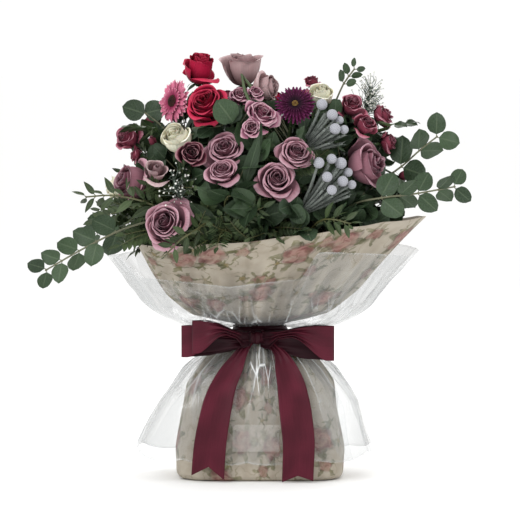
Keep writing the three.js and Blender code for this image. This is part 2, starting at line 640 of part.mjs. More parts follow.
// A loop seen from above runs out from the knot in front, turns at its reach, and comes back behind.
function loopPath(side, reach, root, front, back, inset) {
  const at = (distance, y) => new THREE.Vector2(KNOT_AT.x + side * distance, y);
  const start = KNOT_HALF + GAP;
  const middle = (front + back) / 2;
  return new THREE.SplineCurve([
    at(start, root - LOOP_SEAT + inset),
    at(reach * 0.3, front + inset),
    at(reach * 0.8, front + inset),
    at(reach - inset, middle),
    at(reach * 0.8, back - inset),
    at(reach * 0.3, back - inset),
    at(start, root + LOOP_SEAT - inset),
  ]).getPoints(LOOP_STEPS);
}

// The strip stands up by the ribbon's width, and is pinched where the knot holds it.
function bowLoop({ side, reach, root, front, back, middle, width }) {
  const outside = loopPath(side, reach, root, front, back, 0);
  const inside = loopPath(side, reach, root, front, back, RIBBON_THICK);
  const shape = new THREE.Shape([...outside, ...inside.reverse()]);
  const geometry = new THREE.ExtrudeGeometry(shape, { depth: 1, steps: 2, bevelEnabled: false });
  const at = geometry.attributes.position;
  for (let i = 0; i < at.count; i++) {
    const away = smooth(Math.abs(at.getX(i) - KNOT_AT.x), KNOT_HALF, LOOP_FULL);
    const tall = PINCHED + (width - PINCHED) * away;
    at.setZ(i, KNOT_AT.z + (middle - KNOT_AT.z) * away + (at.getZ(i) - 0.5) * tall);
  }
  return solidFrom(geometry);
}

// A tail hangs down the front of the skirt: [depth, height] of its front face, and its width by height.
const TAIL_FALL = [[-44, KNOT_AT.z - KNOT_HALF - GAP], [-49, 147], [-55, 134], [-64, 116], [-74, 84],
  [-80, 60], [-84.6, 28]];
const tailWidth = (z) => between(z, [[0, TAIL_WIDTH], [118, TAIL_WIDTH - 3], [144, 15], [157, 7]]);
function bowTail(centres, end, notch) {
  const front = [...TAIL_FALL, [-86, end]];
  const back = offsetOutline(front, -RIBBON_THICK);
  const outline = flat([...front, ...back.reverse()]);
  const geometry = new THREE.ExtrudeGeometry(outline, { depth: 1, steps: 1, bevelEnabled: false });
  const at = geometry.attributes.position;
  for (let i = 0; i < at.count; i++) {
    const [y, z, share] = [at.getX(i), at.getY(i), at.getZ(i)];
    at.setXYZ(i, between(z, centres) + (share - 0.5) * tailWidth(z), y, z);
  }
  return solidFrom(geometry).subtract(swallowtail(between(end, centres), end, notch));
}

// What a swallowtail cut takes off the end of a tail.
function swallowtail(middle, end, [left, top, right]) {
  const half = TAIL_WIDTH * 0.62;
  const below = -30;
  const cut = flat([[-half, below], [half, below], [half, right], [0, top], [-half, left]]);
  const vee = new THREE.ExtrudeGeometry(cut, { depth: 30, bevelEnabled: false });
  vee.rotateX(Math.PI / 2);
  vee.translate(middle, -70, end);
  return solidFrom(vee);
}

function ring(profile, sides) {
  const corners = [...profile, profile[0]].map(([r, z]) => new THREE.Vector2(r, z));
  const geometry = new THREE.LatheGeometry(corners, sides);
  return solidFrom(geometry.rotateX(Math.PI / 2));
}

// A small frosted label stuck on the front of the film: a thin panel that follows the skirt.
function labelSolid() {
  const panel = new THREE.BoxGeometry(LABEL.right - LABEL.left, 1, LABEL.high - LABEL.low, 6, 1, 2);
  panel.translate((LABEL.right + LABEL.left) / 2, 0, (LABEL.high + LABEL.low) / 2);
  const at = panel.attributes.position;
  for (let i = 0; i < at.count; i++) {
    const [x, z] = [at.getX(i), at.getZ(i)];
    at.setY(i, filmFront(x, z) - (at.getY(i) < 0 ? LABEL.thick : -1));
  }
  return solidFrom(panel).subtract(filmWrap(2 * GAP));
}

// The film's front face at a place on its skirt, found by stepping round the plan.
function filmFront(x, z) {
  const radius = between(z, FILM_OUTLINE.map(([r, height]) => [height, r]));
  let turn = 0;
  for (let i = 0; i < 30; i++) {
    const miss = (x - wrapPoint(radius, turn, z, filmDepth, 0).x) / radius;
    turn += 0.5 * Math.asin(THREE.MathUtils.clamp(miss, -1, 1));
  }
  return wrapPoint(radius, turn, z, filmDepth, 0).y;
}

// ---- The whole ----
const parts = new Map();
const group = new THREE.Group();
function keep(name, solid, colour, roughness) {
  parts.set(name, solid);
  const finish = new THREE.MeshStandardMaterial({ color: colour, roughness, metalness: 0 });
  const mesh = new THREE.Mesh(geometryFrom(solid), finish);
  mesh.name = name;
  group.add(mesh);
}

function flowerPlant(f) {
  return { ...f, neck: neckOf(f.heads[0]), axis: facing(f.heads[0]), make: flowerSolid, roughness: 0.7 };
}

function bruniaPlant(b) {
  const neck = new THREE.Vector3(...b.knot);
  const axis = new THREE.Vector3();
  b.balls.forEach((one) => axis.add(one.at));
  axis.divideScalar(b.balls.length).sub(neck).normalize();
  return { ...b, colour: DOWN, stem: 2.3, neck, axis, make: bruniaSolid, roughness: 0.9 };
}

function foliagePlant(f) {
  const [neck, ...tail] = f.bends.map((bend) => new THREE.Vector3(...bend));
  const axis = tail[0].clone().sub(neck).normalize();
  const colour = f.buds ? BLOSSOM : LEAF;
  return { ...f, colour, stem: 2.15, neck, axis, tail, make: foliageSolid, roughness: 0.6 };
}

function headRoom(plant, h) {
  const open = h.form === "daisy";
  const middle = h.at.clone().addScaledVector(facing(h), open ? 0 : -0.1 * h.radius);
  return { plant, middle, room: (open ? 0.6 : 0.95) * h.radius };
}

const plants = [...FLOWERS.map(flowerPlant), ...BRUNIAS.map(bruniaPlant), ...FOLIAGE.map(foliagePlant)];
const heads = plants.flatMap((plant) => (plant.heads ?? []).map((h) => headRoom(plant, h)));
giveSlots(plants);
plants.forEach(firstRoute);
settleStems(plants, heads);

keep("wrapping_paper", paperWrap(0), 0xc9bfae, 0.85);
keep("clear_film_wrap", filmWrap(0), 0xe8eaea, 0.15);
keep("water_bag", waterBag(0), 0xd8e4e6, 0.1);
const twineOuter = BUNDLE + TWINE_THICK;
const twine = ring([[BUNDLE, 160], [twineOuter, 161], [twineOuter, 166], [BUNDLE, 167]], WRAP_SIDES);
keep("binding_twine", clearOf(twine, plants), 0xb59a6a, 0.9);
const bandInner = FILM_WAIST + 0.5;
const bandProfile = [[bandInner, 161], [bandInner + 2.4, 160.2], [bandInner + 3.8, 163.8],
  [bandInner + 2.4, 166.8], [bandInner, 166]];
const band = ring(bandProfile, RING_SIDES);
keep("ribbon_band", band, SATIN, 0.4);
keep("bow_knot", largest(knotSolid().subtract(band).subtract(filmWrap(GAP))), SATIN, 0.4);
for (const loop of BOW_LOOPS) keep(loop.name, bowLoop(loop), SATIN, 0.4);
for (const tail of BOW_TAILS) keep(tail.name, bowTail(tail.centres, tail.end, tail.notch), SATIN, 0.4);
keep("frosted_label", largest(labelSolid()), 0xe6e4de, 0.6);

for (const plant of plants) {
  const before = plants.filter((other) => parts.has(other.name));
  keep(plant.name, clearOf(plant.make(plant, 0), before), plant.colour, plant.roughness);
}

// What is left of a solid where it gives way to the plants that it would touch.
function clearOf(solid, others) {
  let left = solid;
  for (const other of others) {
    const kept = parts.get(other.name) ?? other.make(other, 0);
    if (kept.intersect(left).volume() > 0) left = largest(left.subtract(other.make(other, GAP)));
  }
  return left;
}

function largest(solid) {
  return solid.decompose().reduce((most, piece) => (piece.volume() > most.volume() ? piece : most));
}

export default group;
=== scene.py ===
"""A gift-wrapped mixed bouquet, laid out as an add-on.

Each kind of flower, the foliage, the wrapping and the bow has its own operator, and the colours and amounts
that a florist would change are properties. Lengths are in millimetres until a mesh is made, in metres."""

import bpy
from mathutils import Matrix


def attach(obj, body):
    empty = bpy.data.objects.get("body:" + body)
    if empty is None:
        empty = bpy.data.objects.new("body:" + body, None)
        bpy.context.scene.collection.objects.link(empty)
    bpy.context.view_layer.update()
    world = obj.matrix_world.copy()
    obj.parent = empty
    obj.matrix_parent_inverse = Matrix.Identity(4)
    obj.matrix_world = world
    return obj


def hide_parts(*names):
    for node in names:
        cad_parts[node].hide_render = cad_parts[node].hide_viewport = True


bl_info = {
    "name": "Wrapped Mixed Bouquet",
    "version": (1, 0, 0),
    "blender": (4, 5, 0),
    "location": "View3D > Sidebar > Bouquet",
    "description": "Builds a hand-tied bouquet in printed paper and clear film with a satin bow",
    "category": "Add Mesh",
}

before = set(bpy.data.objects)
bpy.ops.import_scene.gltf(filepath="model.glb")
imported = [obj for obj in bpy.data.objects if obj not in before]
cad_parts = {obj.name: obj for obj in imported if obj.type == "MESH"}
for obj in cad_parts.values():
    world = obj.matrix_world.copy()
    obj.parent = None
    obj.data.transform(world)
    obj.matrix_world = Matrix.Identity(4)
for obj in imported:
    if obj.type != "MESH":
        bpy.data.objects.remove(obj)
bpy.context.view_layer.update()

import math

import bpy
import numpy as np
from bpy.props import FloatProperty, FloatVectorProperty, IntProperty, PointerProperty
from mathutils import Vector

MM = 0.001
GOLDEN_TURN = math.pi * (3 - math.sqrt(5))


def linear(hex_colour):
    """An sRGB hex colour as the linear RGBA that shaders work in; a colour that is linear already stays."""
    if not isinstance(hex_colour, str):
        return [*hex_colour[:3], 1.0]
    srgb = [int(hex_colour[i : i + 2], 16) / 255 for i in (1, 3, 5)]
    return [c / 12.92 if c <= 0.04045 else ((c + 0.055) / 1.055) ** 2.4 for c in srgb] + [1.0]


# ---- What grows where, in millimetres: centre, facing azimuth and tilt in degrees, radius ----

ROSES = {
    "rose_cerise_top": ("cerise", [("tall", -66, -15, 447, 20, 66, 21)]),
    "rose_cerise_front": ("cerise", [("rose", -59, -66, 413, -25, 35, 24)]),
    "rose_cerise_back": ("cerise", [("rose", 10, 82, 412, 175, 48, 22)]),
    "rose_cream_left": ("cream", [("rose", -92, -80, 374, -30, 42, 22)]),
    "rose_cream_top": ("cream", [("rose", 68, -34, 422, 10, 55, 17)]),
    "rose_cream_side": ("cream", [("rose", -160, 14, 318, -85, 12, 17)]),
    "rose_cream_back": ("cream", [("rose", -116, 72, 330, -122, 18, 20)]),
    "rose_cream_back_right": ("cream", [("rose", 126, 62, 330, 118, 15, 19)]),
    "rose_lilac_top": ("blush", [("goblet", -18, 4, 447, -10, 78, 24)]),
    "rose_lilac_top_right": ("blush", [("side", 7, -34, 428, 68, 12, 19)]),
    "rose_lilac_left": ("lilac", [("side", -139, -54, 326, -58, 12, 25)]),
    "rose_lilac_low_left": ("lilac", [("rose", -102, -108, 284, -20, 20, 25)]),
    "rose_lilac_centre": ("lilac", [("rose", -38, -94, 364, -12, 36, 21.5)]),
    "rose_lilac_low_centre": ("lilac", [("rose", -41, -122, 341, -5, 44, 17)]),
    "rose_lilac_middle": ("lilac", [("rose", 18, -118, 332, 8, 22, 21)]),
    "rose_lilac_middle_right": ("lilac", [("rose", 39, -112, 360, 12, 34, 18.5)]),
    "rose_lilac_right": ("lilac", [("side", 116, -68, 345, 58, 16, 27)]),
    "rose_lilac_back_left": ("lilac", [("rose", -68, 100, 362, -150, 30, 23)]),
    "rose_lilac_back_middle": ("lilac", [("rose", 2, 122, 318, 178, 15, 24)]),
    "rose_lilac_back_right": ("lilac", [("rose", 72, 100, 352, 148, 28, 23)]),
    "lisianthus_pale": ("pale", [("rose", -112, -88, 339, 12, 48, 16)]),
}
SPRAYS = {
    "spray_rose_left": (
        "raspberry",
        [
            ("rose", -146, -22, 374, -45, 30, 17),
            ("rose", -137, -30, 355, -82, 15, 8.5),
            ("bud", -118, -28, 371, -30, 60, 7),
        ],
    ),
    "spray_rose_plum": ("plum", [("rose", -74, -104, 359, 10, 20, 16)]),
    "spray_rose_centre": (
        "mauve",
        [
            ("rose", 2, -94, 402, 25, 38, 18),
            ("rose", -22, -60, 422, -8, 50, 12),
            ("rose", -4, -64, 425, 15, 50, 9),
            ("rose", -9, -108, 387, -8, 24, 10.5),
        ],
    ),
    "spray_rose_right": (
        "raspberry",
        [
            ("rose", 100, -38, 410, 22, 45, 16),
            ("rose", 115, -62, 389, 35, 40, 15),
            ("rose", 58, -8, 436, 10, 70, 10),
        ],
    ),
    "spray_rose_far_right": (
        "raspberry",
        [
            ("rose", 136, -14, 398, 70, 35, 15),
            ("rose", 141, -40, 369, 75, 15, 13),
            ("bud", 162, -24, 332, 75, 10, 9),
        ],
    ),
    "spray_rose_back": (
        "raspberry",
        [
            ("rose", -40, 76, 414, -165, 48, 15),
            ("rose", -86, 56, 404, -135, 40, 14),
            ("rose", -6, 116, 366, 180, 30, 14),
        ],
    ),
    "spray_rose_back_side": (
        "raspberry",
        [("rose", -138, 30, 366, -105, 25, 14), ("rose", -120, 34, 392, -110, 45, 12)],
    ),
}
DAISIES = {
    "gerbera_pink": ("gerbera", [("daisy", -96, -30, 414, -52, 10, 25)]),
    "gerbera_back": ("gerbera", [("daisy", 58, 66, 410, 150, 40, 25)]),
    "aster_purple": ("aster", [("daisy", 38, -78, 412, 0, 25, 22)]),
}
# Where the twigs of each brunia part, and the middle and radius of its balls.
FORKS = {"brunia_upper": (42, -76, 364), "brunia_lower": (44, -98, 300), "brunia_back": (34, 96, 352)}
BRUNIAS = {
    "brunia_upper": [
        (67, -84, 411, 6),
        (78, -92, 400, 6),
        (86, -86, 394, 4.6),
        (81, -100, 385, 6),
        (91, -92, 384, 4.8),
    ],
    "brunia_lower": [
        (63, -126, 349, 6),
        (77, -116, 353, 5.4),
        (87, -108, 348, 6.4),
        (95, -102, 338, 5),
        (72, -128, 334, 5.6),
        (89, -118, 329, 5.8),
        (77, -130, 320, 5.4),
        (99, -108, 325, 4.8),
    ],
    "brunia_back": [
        (30, 122, 386, 6),
        (44, 122, 378, 5.6),
        (20, 116, 392, 5.2),
        (42, 112, 392, 5.4),
        (54, 118, 392, 4.6),
    ],
}


def leaf_pairs(count, first, last, length, width, turn=0):
    """Pairs of leaves along a branch, smaller towards its tip: share of the way, turn, length, width."""
    made = []
    for i in range(count):
        share = first + (last - first) * i / max(1, count - 1)
        small = 1 - 0.35 * i / count
        for side in (0, 180):
            made.append((share, turn + side + (i % 2) * 70, length * small, width * small))
    return made


# Each branch's bends outside the bunch, and its leaves.
BRANCHES = {
    "eucalyptus_left": (
        [(-104, -64, 284), (-146, -64, 276), (-192, -66, 254), (-234, -68, 230)],
        leaf_pairs(5, 0.38, 1, 30, 24, 60),
    ),
    "eucalyptus_right": (
        [(96, -84, 300), (132, -88, 310), (166, -86, 314), (212, -80, 322)],
        leaf_pairs(5, 0.3, 1, 30, 24, 70),
    ),
    "eucalyptus_right_upper": (
        [(122, -22, 318), (154, -42, 342), (176, -48, 362), (194, -50, 376)],
        leaf_pairs(3, 0.45, 1, 32, 27, 80),
    ),
    "eucalyptus_round_left": ([(-92, -18, 366), (-108, -14, 386), (-127, -9, 401)], []),
    "eucalyptus_back": (
        [(-96, 92, 300), (-128, 108, 300), (-160, 124, 284), (-186, 134, 262)],
        leaf_pairs(4, 0.4, 1, 29, 24, 60),
    ),
    "eucalyptus_twig_top": (
        [(88, -4, 424), (95, -6, 437), (104, -8, 449)],
        leaf_pairs(3, 0.3, 1, 16, 9, 60),
    ),
    "salal_front": (
        [(-38, -112, 300), (-36, -124, 310), (-34, -132, 314)],
        [(0.5, 20, 40, 26), (0.5, 200, 40, 26), (1, 338, 34, 24), (1, 196, 32, 22)],
    ),
    "salal_back": (
        [(30, 106, 290), (34, 118, 292), (40, 128, 292)],
        [(0.5, 20, 40, 26), (0.5, 200, 40, 26), (1, 300, 36, 24)],
    ),
    "pistacia_left": (
        [(-96, -76, 292), (-128, -78, 306), (-160, -72, 312), (-190, -64, 310)],
        leaf_pairs(9, 0.1, 1, 26, 9, 40),
    ),
    "pistacia_front": (
        [(-54, -112, 284), (-70, -134, 276), (-84, -142, 268), (-98, -146, 254)],
        leaf_pairs(7, 0.15, 1, 22, 8, 20),
    ),
    "pistacia_right": (
        [(62, -104, 284), (78, -120, 288), (96, -128, 284)],
        leaf_pairs(7, 0.1, 1, 22, 8, 20),
    ),
    "gypsophila_right": ([(112, 12, 396), (119, 6, 412), (123, 2, 426)], []),
    "gypsophila_left": ([(-88, -92, 312), (-92, -100, 322), (-92, -106, 330)], []),
}


# ---- Gathering a mesh ----


def joined(*parts):
    """Grids of numbers, stretched to one shape and put together point by point."""
    return np.stack(np.broadcast_arrays(*parts), -1)


class Gathering:
    """Grids of points gathered into one mesh. Each point keeps a note: how far along and across its petal
    or leaf it lies, a chance number of that petal, and how far out in the flower it sits."""

    def __init__(self):
        self.points, self.faces, self.notes, self.finishes = [], [], [], []
        self.count = 0

    def grid(self, points, note, finish, around=False):
        rows, columns = points.shape[:2]
        index = self.count + np.arange(rows * columns).reshape(rows, columns)
        if around:
            index = np.hstack([index, index[:, :1]])
        corners = [index[:-1, :-1], index[:-1, 1:], index[1:, 1:], index[1:, :-1]]
        faces = np.stack(corners, -1).reshape(-1, 4)
        self.points.append(points.reshape(-1, 3))
        self.notes.append(np.broadcast_to(joined(*note), (rows, columns, 4)).reshape(-1, 4))
        self.faces.append(faces)
        self.finishes.append(np.full(len(faces), finish))
        self.count += rows * columns

    def piece(self, name, materials):
        mesh = bpy.data.meshes.new(name)
        points, faces = np.concatenate(self.points) * MM, np.concatenate(self.faces)
        mesh.from_pydata(points.tolist(), [], faces.tolist())
        note = mesh.attributes.new("note", "FLOAT_COLOR", "POINT")
        note.data.foreach_set("color", np.concatenate(self.notes).astype(np.float32).ravel())
        mesh.polygons.foreach_set("use_smooth", np.ones(len(mesh.polygons), bool))
        mesh.polygons.foreach_set("material_index", np.concatenate(self.finishes).astype(np.int32))
        for material in materials:
            mesh.materials.append(material)
        piece = bpy.data.objects.new(name, mesh)
        bpy.context.scene.collection.objects.link(piece)
        return piece


def settle(piece, slot, *nodes):
    """The piece rides with the whole bouquet and stands for its CAD nodes; slot is not used."""
    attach(piece, "root")
    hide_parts(*nodes)
    return piece


def lay_out(piece, lie):
    """Where each point lies on the flat sheet, in metres, as the UV map that a weave or print follows."""
    layer = piece.data.uv_layers.new(name="lie")
    corners = np.empty(len(piece.data.loops), np.int32)
    piece.data.loops.foreach_get("vertex_index", corners)
    layer.data.foreach_set("uv", lie.reshape(-1, 2)[corners].astype(np.float32).ravel())


def thicken(piece, thickness, offset):
    """Give a sheet its thickness: offset 0 spreads it to both sides, -1 behind its face."""
    solid = piece.modifiers.new("thickness", "SOLIDIFY")
    solid.thickness, solid.offset = thickness * MM, offset


def seeded(name):
    """A piece's own random numbers, the same in each run."""
    return np.random.default_rng(sum(map(ord, name)))


def plant_of(name):
    """The plant that a branch's name starts with."""
    return name.split("_")[0]


# ---- Directions and paths ----


def unit(vector):
    return vector / max(1e-9, np.linalg.norm(vector))


def smoothstep(value, low, high):
    t = np.clip((value - low) / (high - low), 0, 1)
    return t * t * (3 - 2 * t)


def facing(azimuth, tilt):
    a, t = math.radians(azimuth), math.radians(tilt)
    return np.array([math.cos(t) * math.sin(a), -math.cos(t) * math.cos(a), math.sin(t)])


def frame_on(axis, near=(0.0, 0.0, 1.0)):
    """Three directions as rows, the last along the axis, the second leaning to near."""
    third = unit(np.asarray(axis, float))
    first = np.cross(np.asarray(near, float), third)
    if np.linalg.norm(first) < 1e-3:
        first = np.cross([0.0, 1.0, 0.0], third)
    first = unit(first)
    return np.array([first, np.cross(third, first), third])


def spoke(stand, turn):
    """The direction at a turn round the last axis of a stand."""
    return stand[0] * math.cos(turn) + stand[1] * math.sin(turn)


def steps(points):
    """How far it is from each point to the next."""
    return np.linalg.norm(np.diff(points, axis=0), axis=1)


def walked_to(points):
    """How far along its line each point lies."""
    return np.concatenate([[0], np.cumsum(steps(points))])


def soften(values):
    """Ease each value but the first and the last towards its neighbours, in place."""
    values[1:-1] = 0.25 * values[:-2] + 0.5 * values[1:-1] + 0.25 * values[2:]


def smooth_line(points, count):
    """A smooth line through the points, evenly stepped (Catmull-Rom)."""
    points = np.asarray(points, float)
    ends = np.vstack([2 * points[0] - points[1], points, 2 * points[-1] - points[-2]])
    dense = []
    for i in range(len(points) - 1):
        t = np.linspace(0, 1, 12, endpoint=False)[:, None]
        a, b, c, d = ends[i : i + 4]
        second, third = 2 * a - 5 * b + 4 * c - d, 3 * b - a - 3 * c + d
        dense.append(0.5 * (2 * b + (c - a) * t + second * t**2 + third * t**3))
    dense = np.vstack([*dense, points[-1:]])
    walked = walked_to(dense)
    even = np.linspace(0, walked[-1], count)
    return np.stack([np.interp(even, walked, dense[:, k]) for k in range(points.shape[1])], -1)


def tube(work, line, thick, finish, sides=7):
    """A round stem along a line, its radius given at both ends."""
    ahead = np.gradient(line, axis=0)
    side = frame_on(ahead[0])[0]
    rings = []
    for i, point in enumerate(line):
        along = unit(ahead[i])
        side = unit(side - along * (side @ along))
        radius = thick[0] + (thick[1] - thick[0]) * i / (len(line) - 1)
        turn = np.linspace(0, 2 * np.pi, sides, endpoint=False)[:, None]
        rings.append(point + radius * (np.cos(turn) * side + np.sin(turn) * np.cross(along, side)))
    first, last = (np.broadcast_to(line[end], rings[0].shape) for end in (0, -1))
    rings = np.array([first, *rings, last])
    share = np.linspace(0, 1, len(rings))[:, None]
    work.grid(rings, (share, 0.5, 0.5, 0.5), finish, around=True)


RING_REACH = 5.2
STEM_RADII = (1.75, 3.2)
LONGEST_STEP = 90


def stem_line(name, heads=()):
    """The middle of a node's stem from its cut end up, found from the rings of corners round it: corners
    within RING_REACH are one ring, and it is the stem's when its radius is in STEM_RADII."""
    corners = np.array([v.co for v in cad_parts[name].data.vertices]) / MM
    for _, x, y, z, _, _, radius in heads:
        corners = corners[np.linalg.norm(corners - (x, y, z), axis=1) > 1.25 * radius]
    rings = []
    for corner in corners:
        near = [ring for ring in rings if np.linalg.norm(np.mean(ring, axis=0) - corner) < RING_REACH]
        if near:
            near[0].append(corner)
        else:
            rings.append([corner])
    middles = []
    for ring in rings:
        middle = np.mean(ring, axis=0)
        radius = np.mean(np.linalg.norm(ring - middle, axis=1))
        if len(ring) >= 4 and STEM_RADII[0] < radius < STEM_RADII[1]:
            middles.append(middle)
    line = [min(middles, key=lambda m: m[2])]
    while len(line) < len(middles):
        rest = [m for m in middles if all(m is not done for done in line)]
        nearest = min(rest, key=lambda m: np.linalg.norm(m - line[-1]))
        if np.linalg.norm(nearest - line[-1]) > LONGEST_STEP:
            break
        line.append(nearest)
    return line


# ---- Petals ----


class Bloom:
    """How one kind of rose opens: petal count, how far it opens, how tall it stands, how wavy its rims are,
    how wide its outer petals are, how far it flares like a cup, how far its outermost petals bend back, and
    how far it is turned on its stem."""

    def __init__(self, petals, openness, tall=1.0, wavy=1.0, broad=0.95, flare=0.0, bend=0.2, turned=0.0):
        self.petals, self.openness, self.tall, self.turned = petals, openness, tall, turned
        self.wavy, self.broad, self.flare, self.bend = wavy, broad, flare, bend


BLOOMS = {
    "lilac": Bloom(30, 0.85, 1.04, 1.1, 0.95, 0, 0.3),
    "blush": Bloom(24, 0.9),
    "cerise": Bloom(27, 0.78, 1.06, 1.2, 0.95, 0, 0.25),
    "cream": Bloom(24, 0.34, 1.2, 0.7, 1.1, 0, 0.3),
    "pale": Bloom(8, 0.8, 1.25, 2.0, 1.2, 0.1, 0.2),
    "mauve": Bloom(25, 0.95, 1.0, 2.2, 0.8),
    "raspberry": Bloom(22, 0.7, 1.15, 1.8, 0.85, 0, 0.4),
    "plum": Bloom(20, 0.7, 1.1, 2.0, 0.9, 0, 0.2),
    "bud": Bloom(8, 0.1, 1.75, 0.4, 0.95, 0, 0),
    "goblet": Bloom(14, 0.3, 1.36, 0.6, 1.3, 0.36, 0.1),
    "tall": Bloom(20, 0.42, 1.5, 1.2, 1.1, 0.04, 0.85, 2.6),
    "side": Bloom(17, 0.5, 1.25, 0.9, 1.35, 0.05, 0.35),
}


def petal(work, stand, foot, size, out, turn, bloom, chance, finish):
    """One rose petal: it bulges out from its foot, cups, and rolls over at its rim. out is 0 for the
    innermost petal and 1 for the outermost."""
    v = np.linspace(0, 1, 11)[:, None]
    u = np.linspace(-1, 1, 13)[None, :]
    edge = np.abs(u)
    reach = v * (1 - 0.17 * edge**2.6 + 0.09 * out * np.exp(-((u / 0.25) ** 2)))
    open_ = bloom.openness * out**1.15 + bloom.bend * smoothstep(out, 0.8, 1)
    bulge = size * (0.20 + 0.62 * out**0.85) * (1 - 0.5 * bloom.flare)
    top = size * (0.06 + 0.30 * out + 0.62 * open_ + bloom.flare * out)
    tall = size * bloom.tall * (1.16 - 0.05 * out - 0.42 * open_**2.2 - 0.10 * chance)
    a, b, c, d = (1 - reach) ** 3, 3 * reach * (1 - reach) ** 2, 3 * reach**2 * (1 - reach), reach**3
    radial = a * 0.05 * size + b * bulge * 1.12 + c * (0.35 * bulge + 0.75 * top) + d * top
    height = b * 0.04 * size + c * tall * 0.86 + d * tall
    roll = np.clip((reach - 0.78) / 0.22, 0, 1) ** 2
    radial = radial + size * roll * (0.04 + 0.20 * open_)
    height = height - size * roll * (0.01 + 0.17 * open_ + 0.05 * out)
    fold = edge**3 * reach**2
    radial = radial - size * 0.13 * open_ * fold
    height = height - size * (0.07 + 0.28 * open_) * fold
    wave = np.sin(3.1 * u + 9 * chance) * 0.6 + np.sin(6.7 * u + 21 * chance) * 0.4
    radial = radial * (1 + 0.17 * u * (1 - 0.5 * out)) + size * 0.04 * bloom.wavy * wave * reach**3
    height = height + size * 0.035 * bloom.wavy * np.cos(5.2 * u + 30 * chance) * reach**3
    spread = (1.9 - (1.9 - bloom.broad) * out) * (0.5 + 0.5 * np.sin(np.pi * np.minimum(v, 0.7) / 1.4))
    angle = turn + u * spread
    local = joined(radial * np.cos(angle), radial * np.sin(angle), height)
    work.grid(foot + local @ stand, (reach, edge, chance, out), finish)


# How far behind its centre a head's neck lies, as a share of its radius.
NECK_DEPTH = {"bud": 1.1, "daisy": 0.3}


def neck_of(head):
    return np.array(head[1:4]) - NECK_DEPTH.get(head[0], 0.72) * head[6] * facing(head[4], head[5])


def rose_head(work, head, bloom, rng, finishes):
    """Petals set by the golden angle from a tight eye out, over five sepals and a green hip."""
    axis, size = facing(head[4], head[5]), head[6]
    stand = frame_on(axis)
    neck = neck_of(head)
    shape = BLOOMS.get(head[0], bloom)
    start = rng.uniform(0, 6.28) + shape.turned
    for i in range(shape.petals):
        out = (i / (shape.petals - 1)) ** 1.12
        turn = start + i * GOLDEN_TURN + rng.uniform(-0.28, 0.28)
        tilted = frame_on(axis + rng.normal(0, 0.05, 3))
        own = size * rng.uniform(0.92, 1.04)
        petal(work, tilted, neck, own, out, turn, shape, rng.uniform(), finishes["petal"])
    hip = [neck - 0.14 * size * axis, neck + 0.05 * size * axis, neck + 0.16 * size * axis]
    tube(work, np.array(hip), (0.12 * size, 0.3 * size), finishes["stem"], 9)
    for i in range(5):
        away = spoke(stand, start + 0.4 + i * 2 * np.pi / 5)
        foot, along = neck + 0.08 * size * away, unit(away - 0.15 * axis)
        leaf(work, foot, along, axis, 0.75 * size, 0.22 * size, "lance", rng, finishes["leaf"], bend=-0.9)


def ray(work, stand, foot, inner, length, width, turn, lift, rng, finish, out):
    """One narrow ray petal of a daisy, channelled along its middle, its tip notched and lifted or
    drooping."""
    v = np.linspace(0, 1, 8)[:, None]
    u = np.linspace(-1, 1, 5)[None, :]
    half = 0.5 * width * (0.45 + 0.55 * np.sin(np.pi * (0.12 + 0.66 * v))) * np.where(v > 0.96, 0.55, 1)
    bend = lift + rng.uniform(-0.12, 0.12)
    radial = inner + length * v * (1 - 0.05 * np.abs(u) ** 2 * v)
    height = length * (bend * v - 0.35 * abs(bend) * v**2 + rng.uniform(-0.08, 0.04) * v**3)
    height = height + 0.22 * half * np.abs(u) ** 2
    across = u * half
    twist = rng.uniform(-0.25, 0.25)
    height = height + across * twist * v
    cos, sin = math.cos(turn), math.sin(turn)
    local = joined(radial * cos - across * sin, radial * sin + across * cos, height)
    work.grid(foot + local @ stand, (v, np.abs(u), rng.uniform(), out), finish)


def ball_grid(rings, sides, tall=1.0):
    """A ball of radius 1 from pole to pole, stretched along its axis."""
    pole = np.linspace(0, np.pi, rings)[:, None]
    turn = np.linspace(0, 2 * np.pi, sides, endpoint=False)[None, :]
    return joined(np.sin(pole) * np.cos(turn), np.sin(pole) * np.sin(turn), tall * np.cos(pole))


def dome(work, stand, foot, radius, rise, finish, knobs, knob):
    """A raised eye made of small knobs set by the golden angle."""
    ball = ball_grid(4, 6, 1.5) * knob
    for i in range(knobs):
        share = math.sqrt((i + 0.5) / knobs)
        turn = i * GOLDEN_TURN
        flat = radius * share * np.array([math.cos(turn), math.sin(turn), 0])
        at = foot + (flat + np.array([0, 0, rise * (1 - share**2)])) @ stand
        work.grid(at + ball @ stand, (share, 0.5, (i * 0.618) % 1, share), finish, around=True)


def daisy_head(work, head, kind, rng, finishes):
    """Rows of ray petals round a knobbly eye, over a ring of green bracts."""
    axis, size = facing(head[4], head[5]), head[6]
    stand = frame_on(axis)
    neck = neck_of(head)
    rows = DAISY_ROWS[kind]
    for row, (count, inner, outer, width, height, lift) in enumerate(rows):
        for i in range(count):
            turn = 2 * np.pi * (i + 0.5 * (row % 2)) / count + rng.uniform(-0.04, 0.04)
            foot = neck + axis * height * size
            long_ = size * (outer - inner) * rng.uniform(0.9, 1.0)
            shape = (inner * size, long_, width * size, turn, lift)
            ray(work, stand, foot, *shape, rng, finishes["petal"], 1 - row / len(rows))
    eye = DAISY_EYES[kind]
    foot = neck + axis * 0.33 * size
    dome(work, stand, foot, eye * size, 0.1 * size, finishes["eye"], 90, 0.1 * eye * size)
    for i in range(DAISY_BRACTS):
        away = spoke(stand, 2 * np.pi * i / DAISY_BRACTS)
        foot, along = neck + 0.1 * size * away, unit(away + 0.5 * axis)
        leaf(work, foot, along, axis, 0.45 * size, 0.12 * size, "lance", rng, finishes["leaf"])


DAISY_BRACTS = 22
DAISY_EYES = {"gerbera": 0.26, "aster": 0.15}
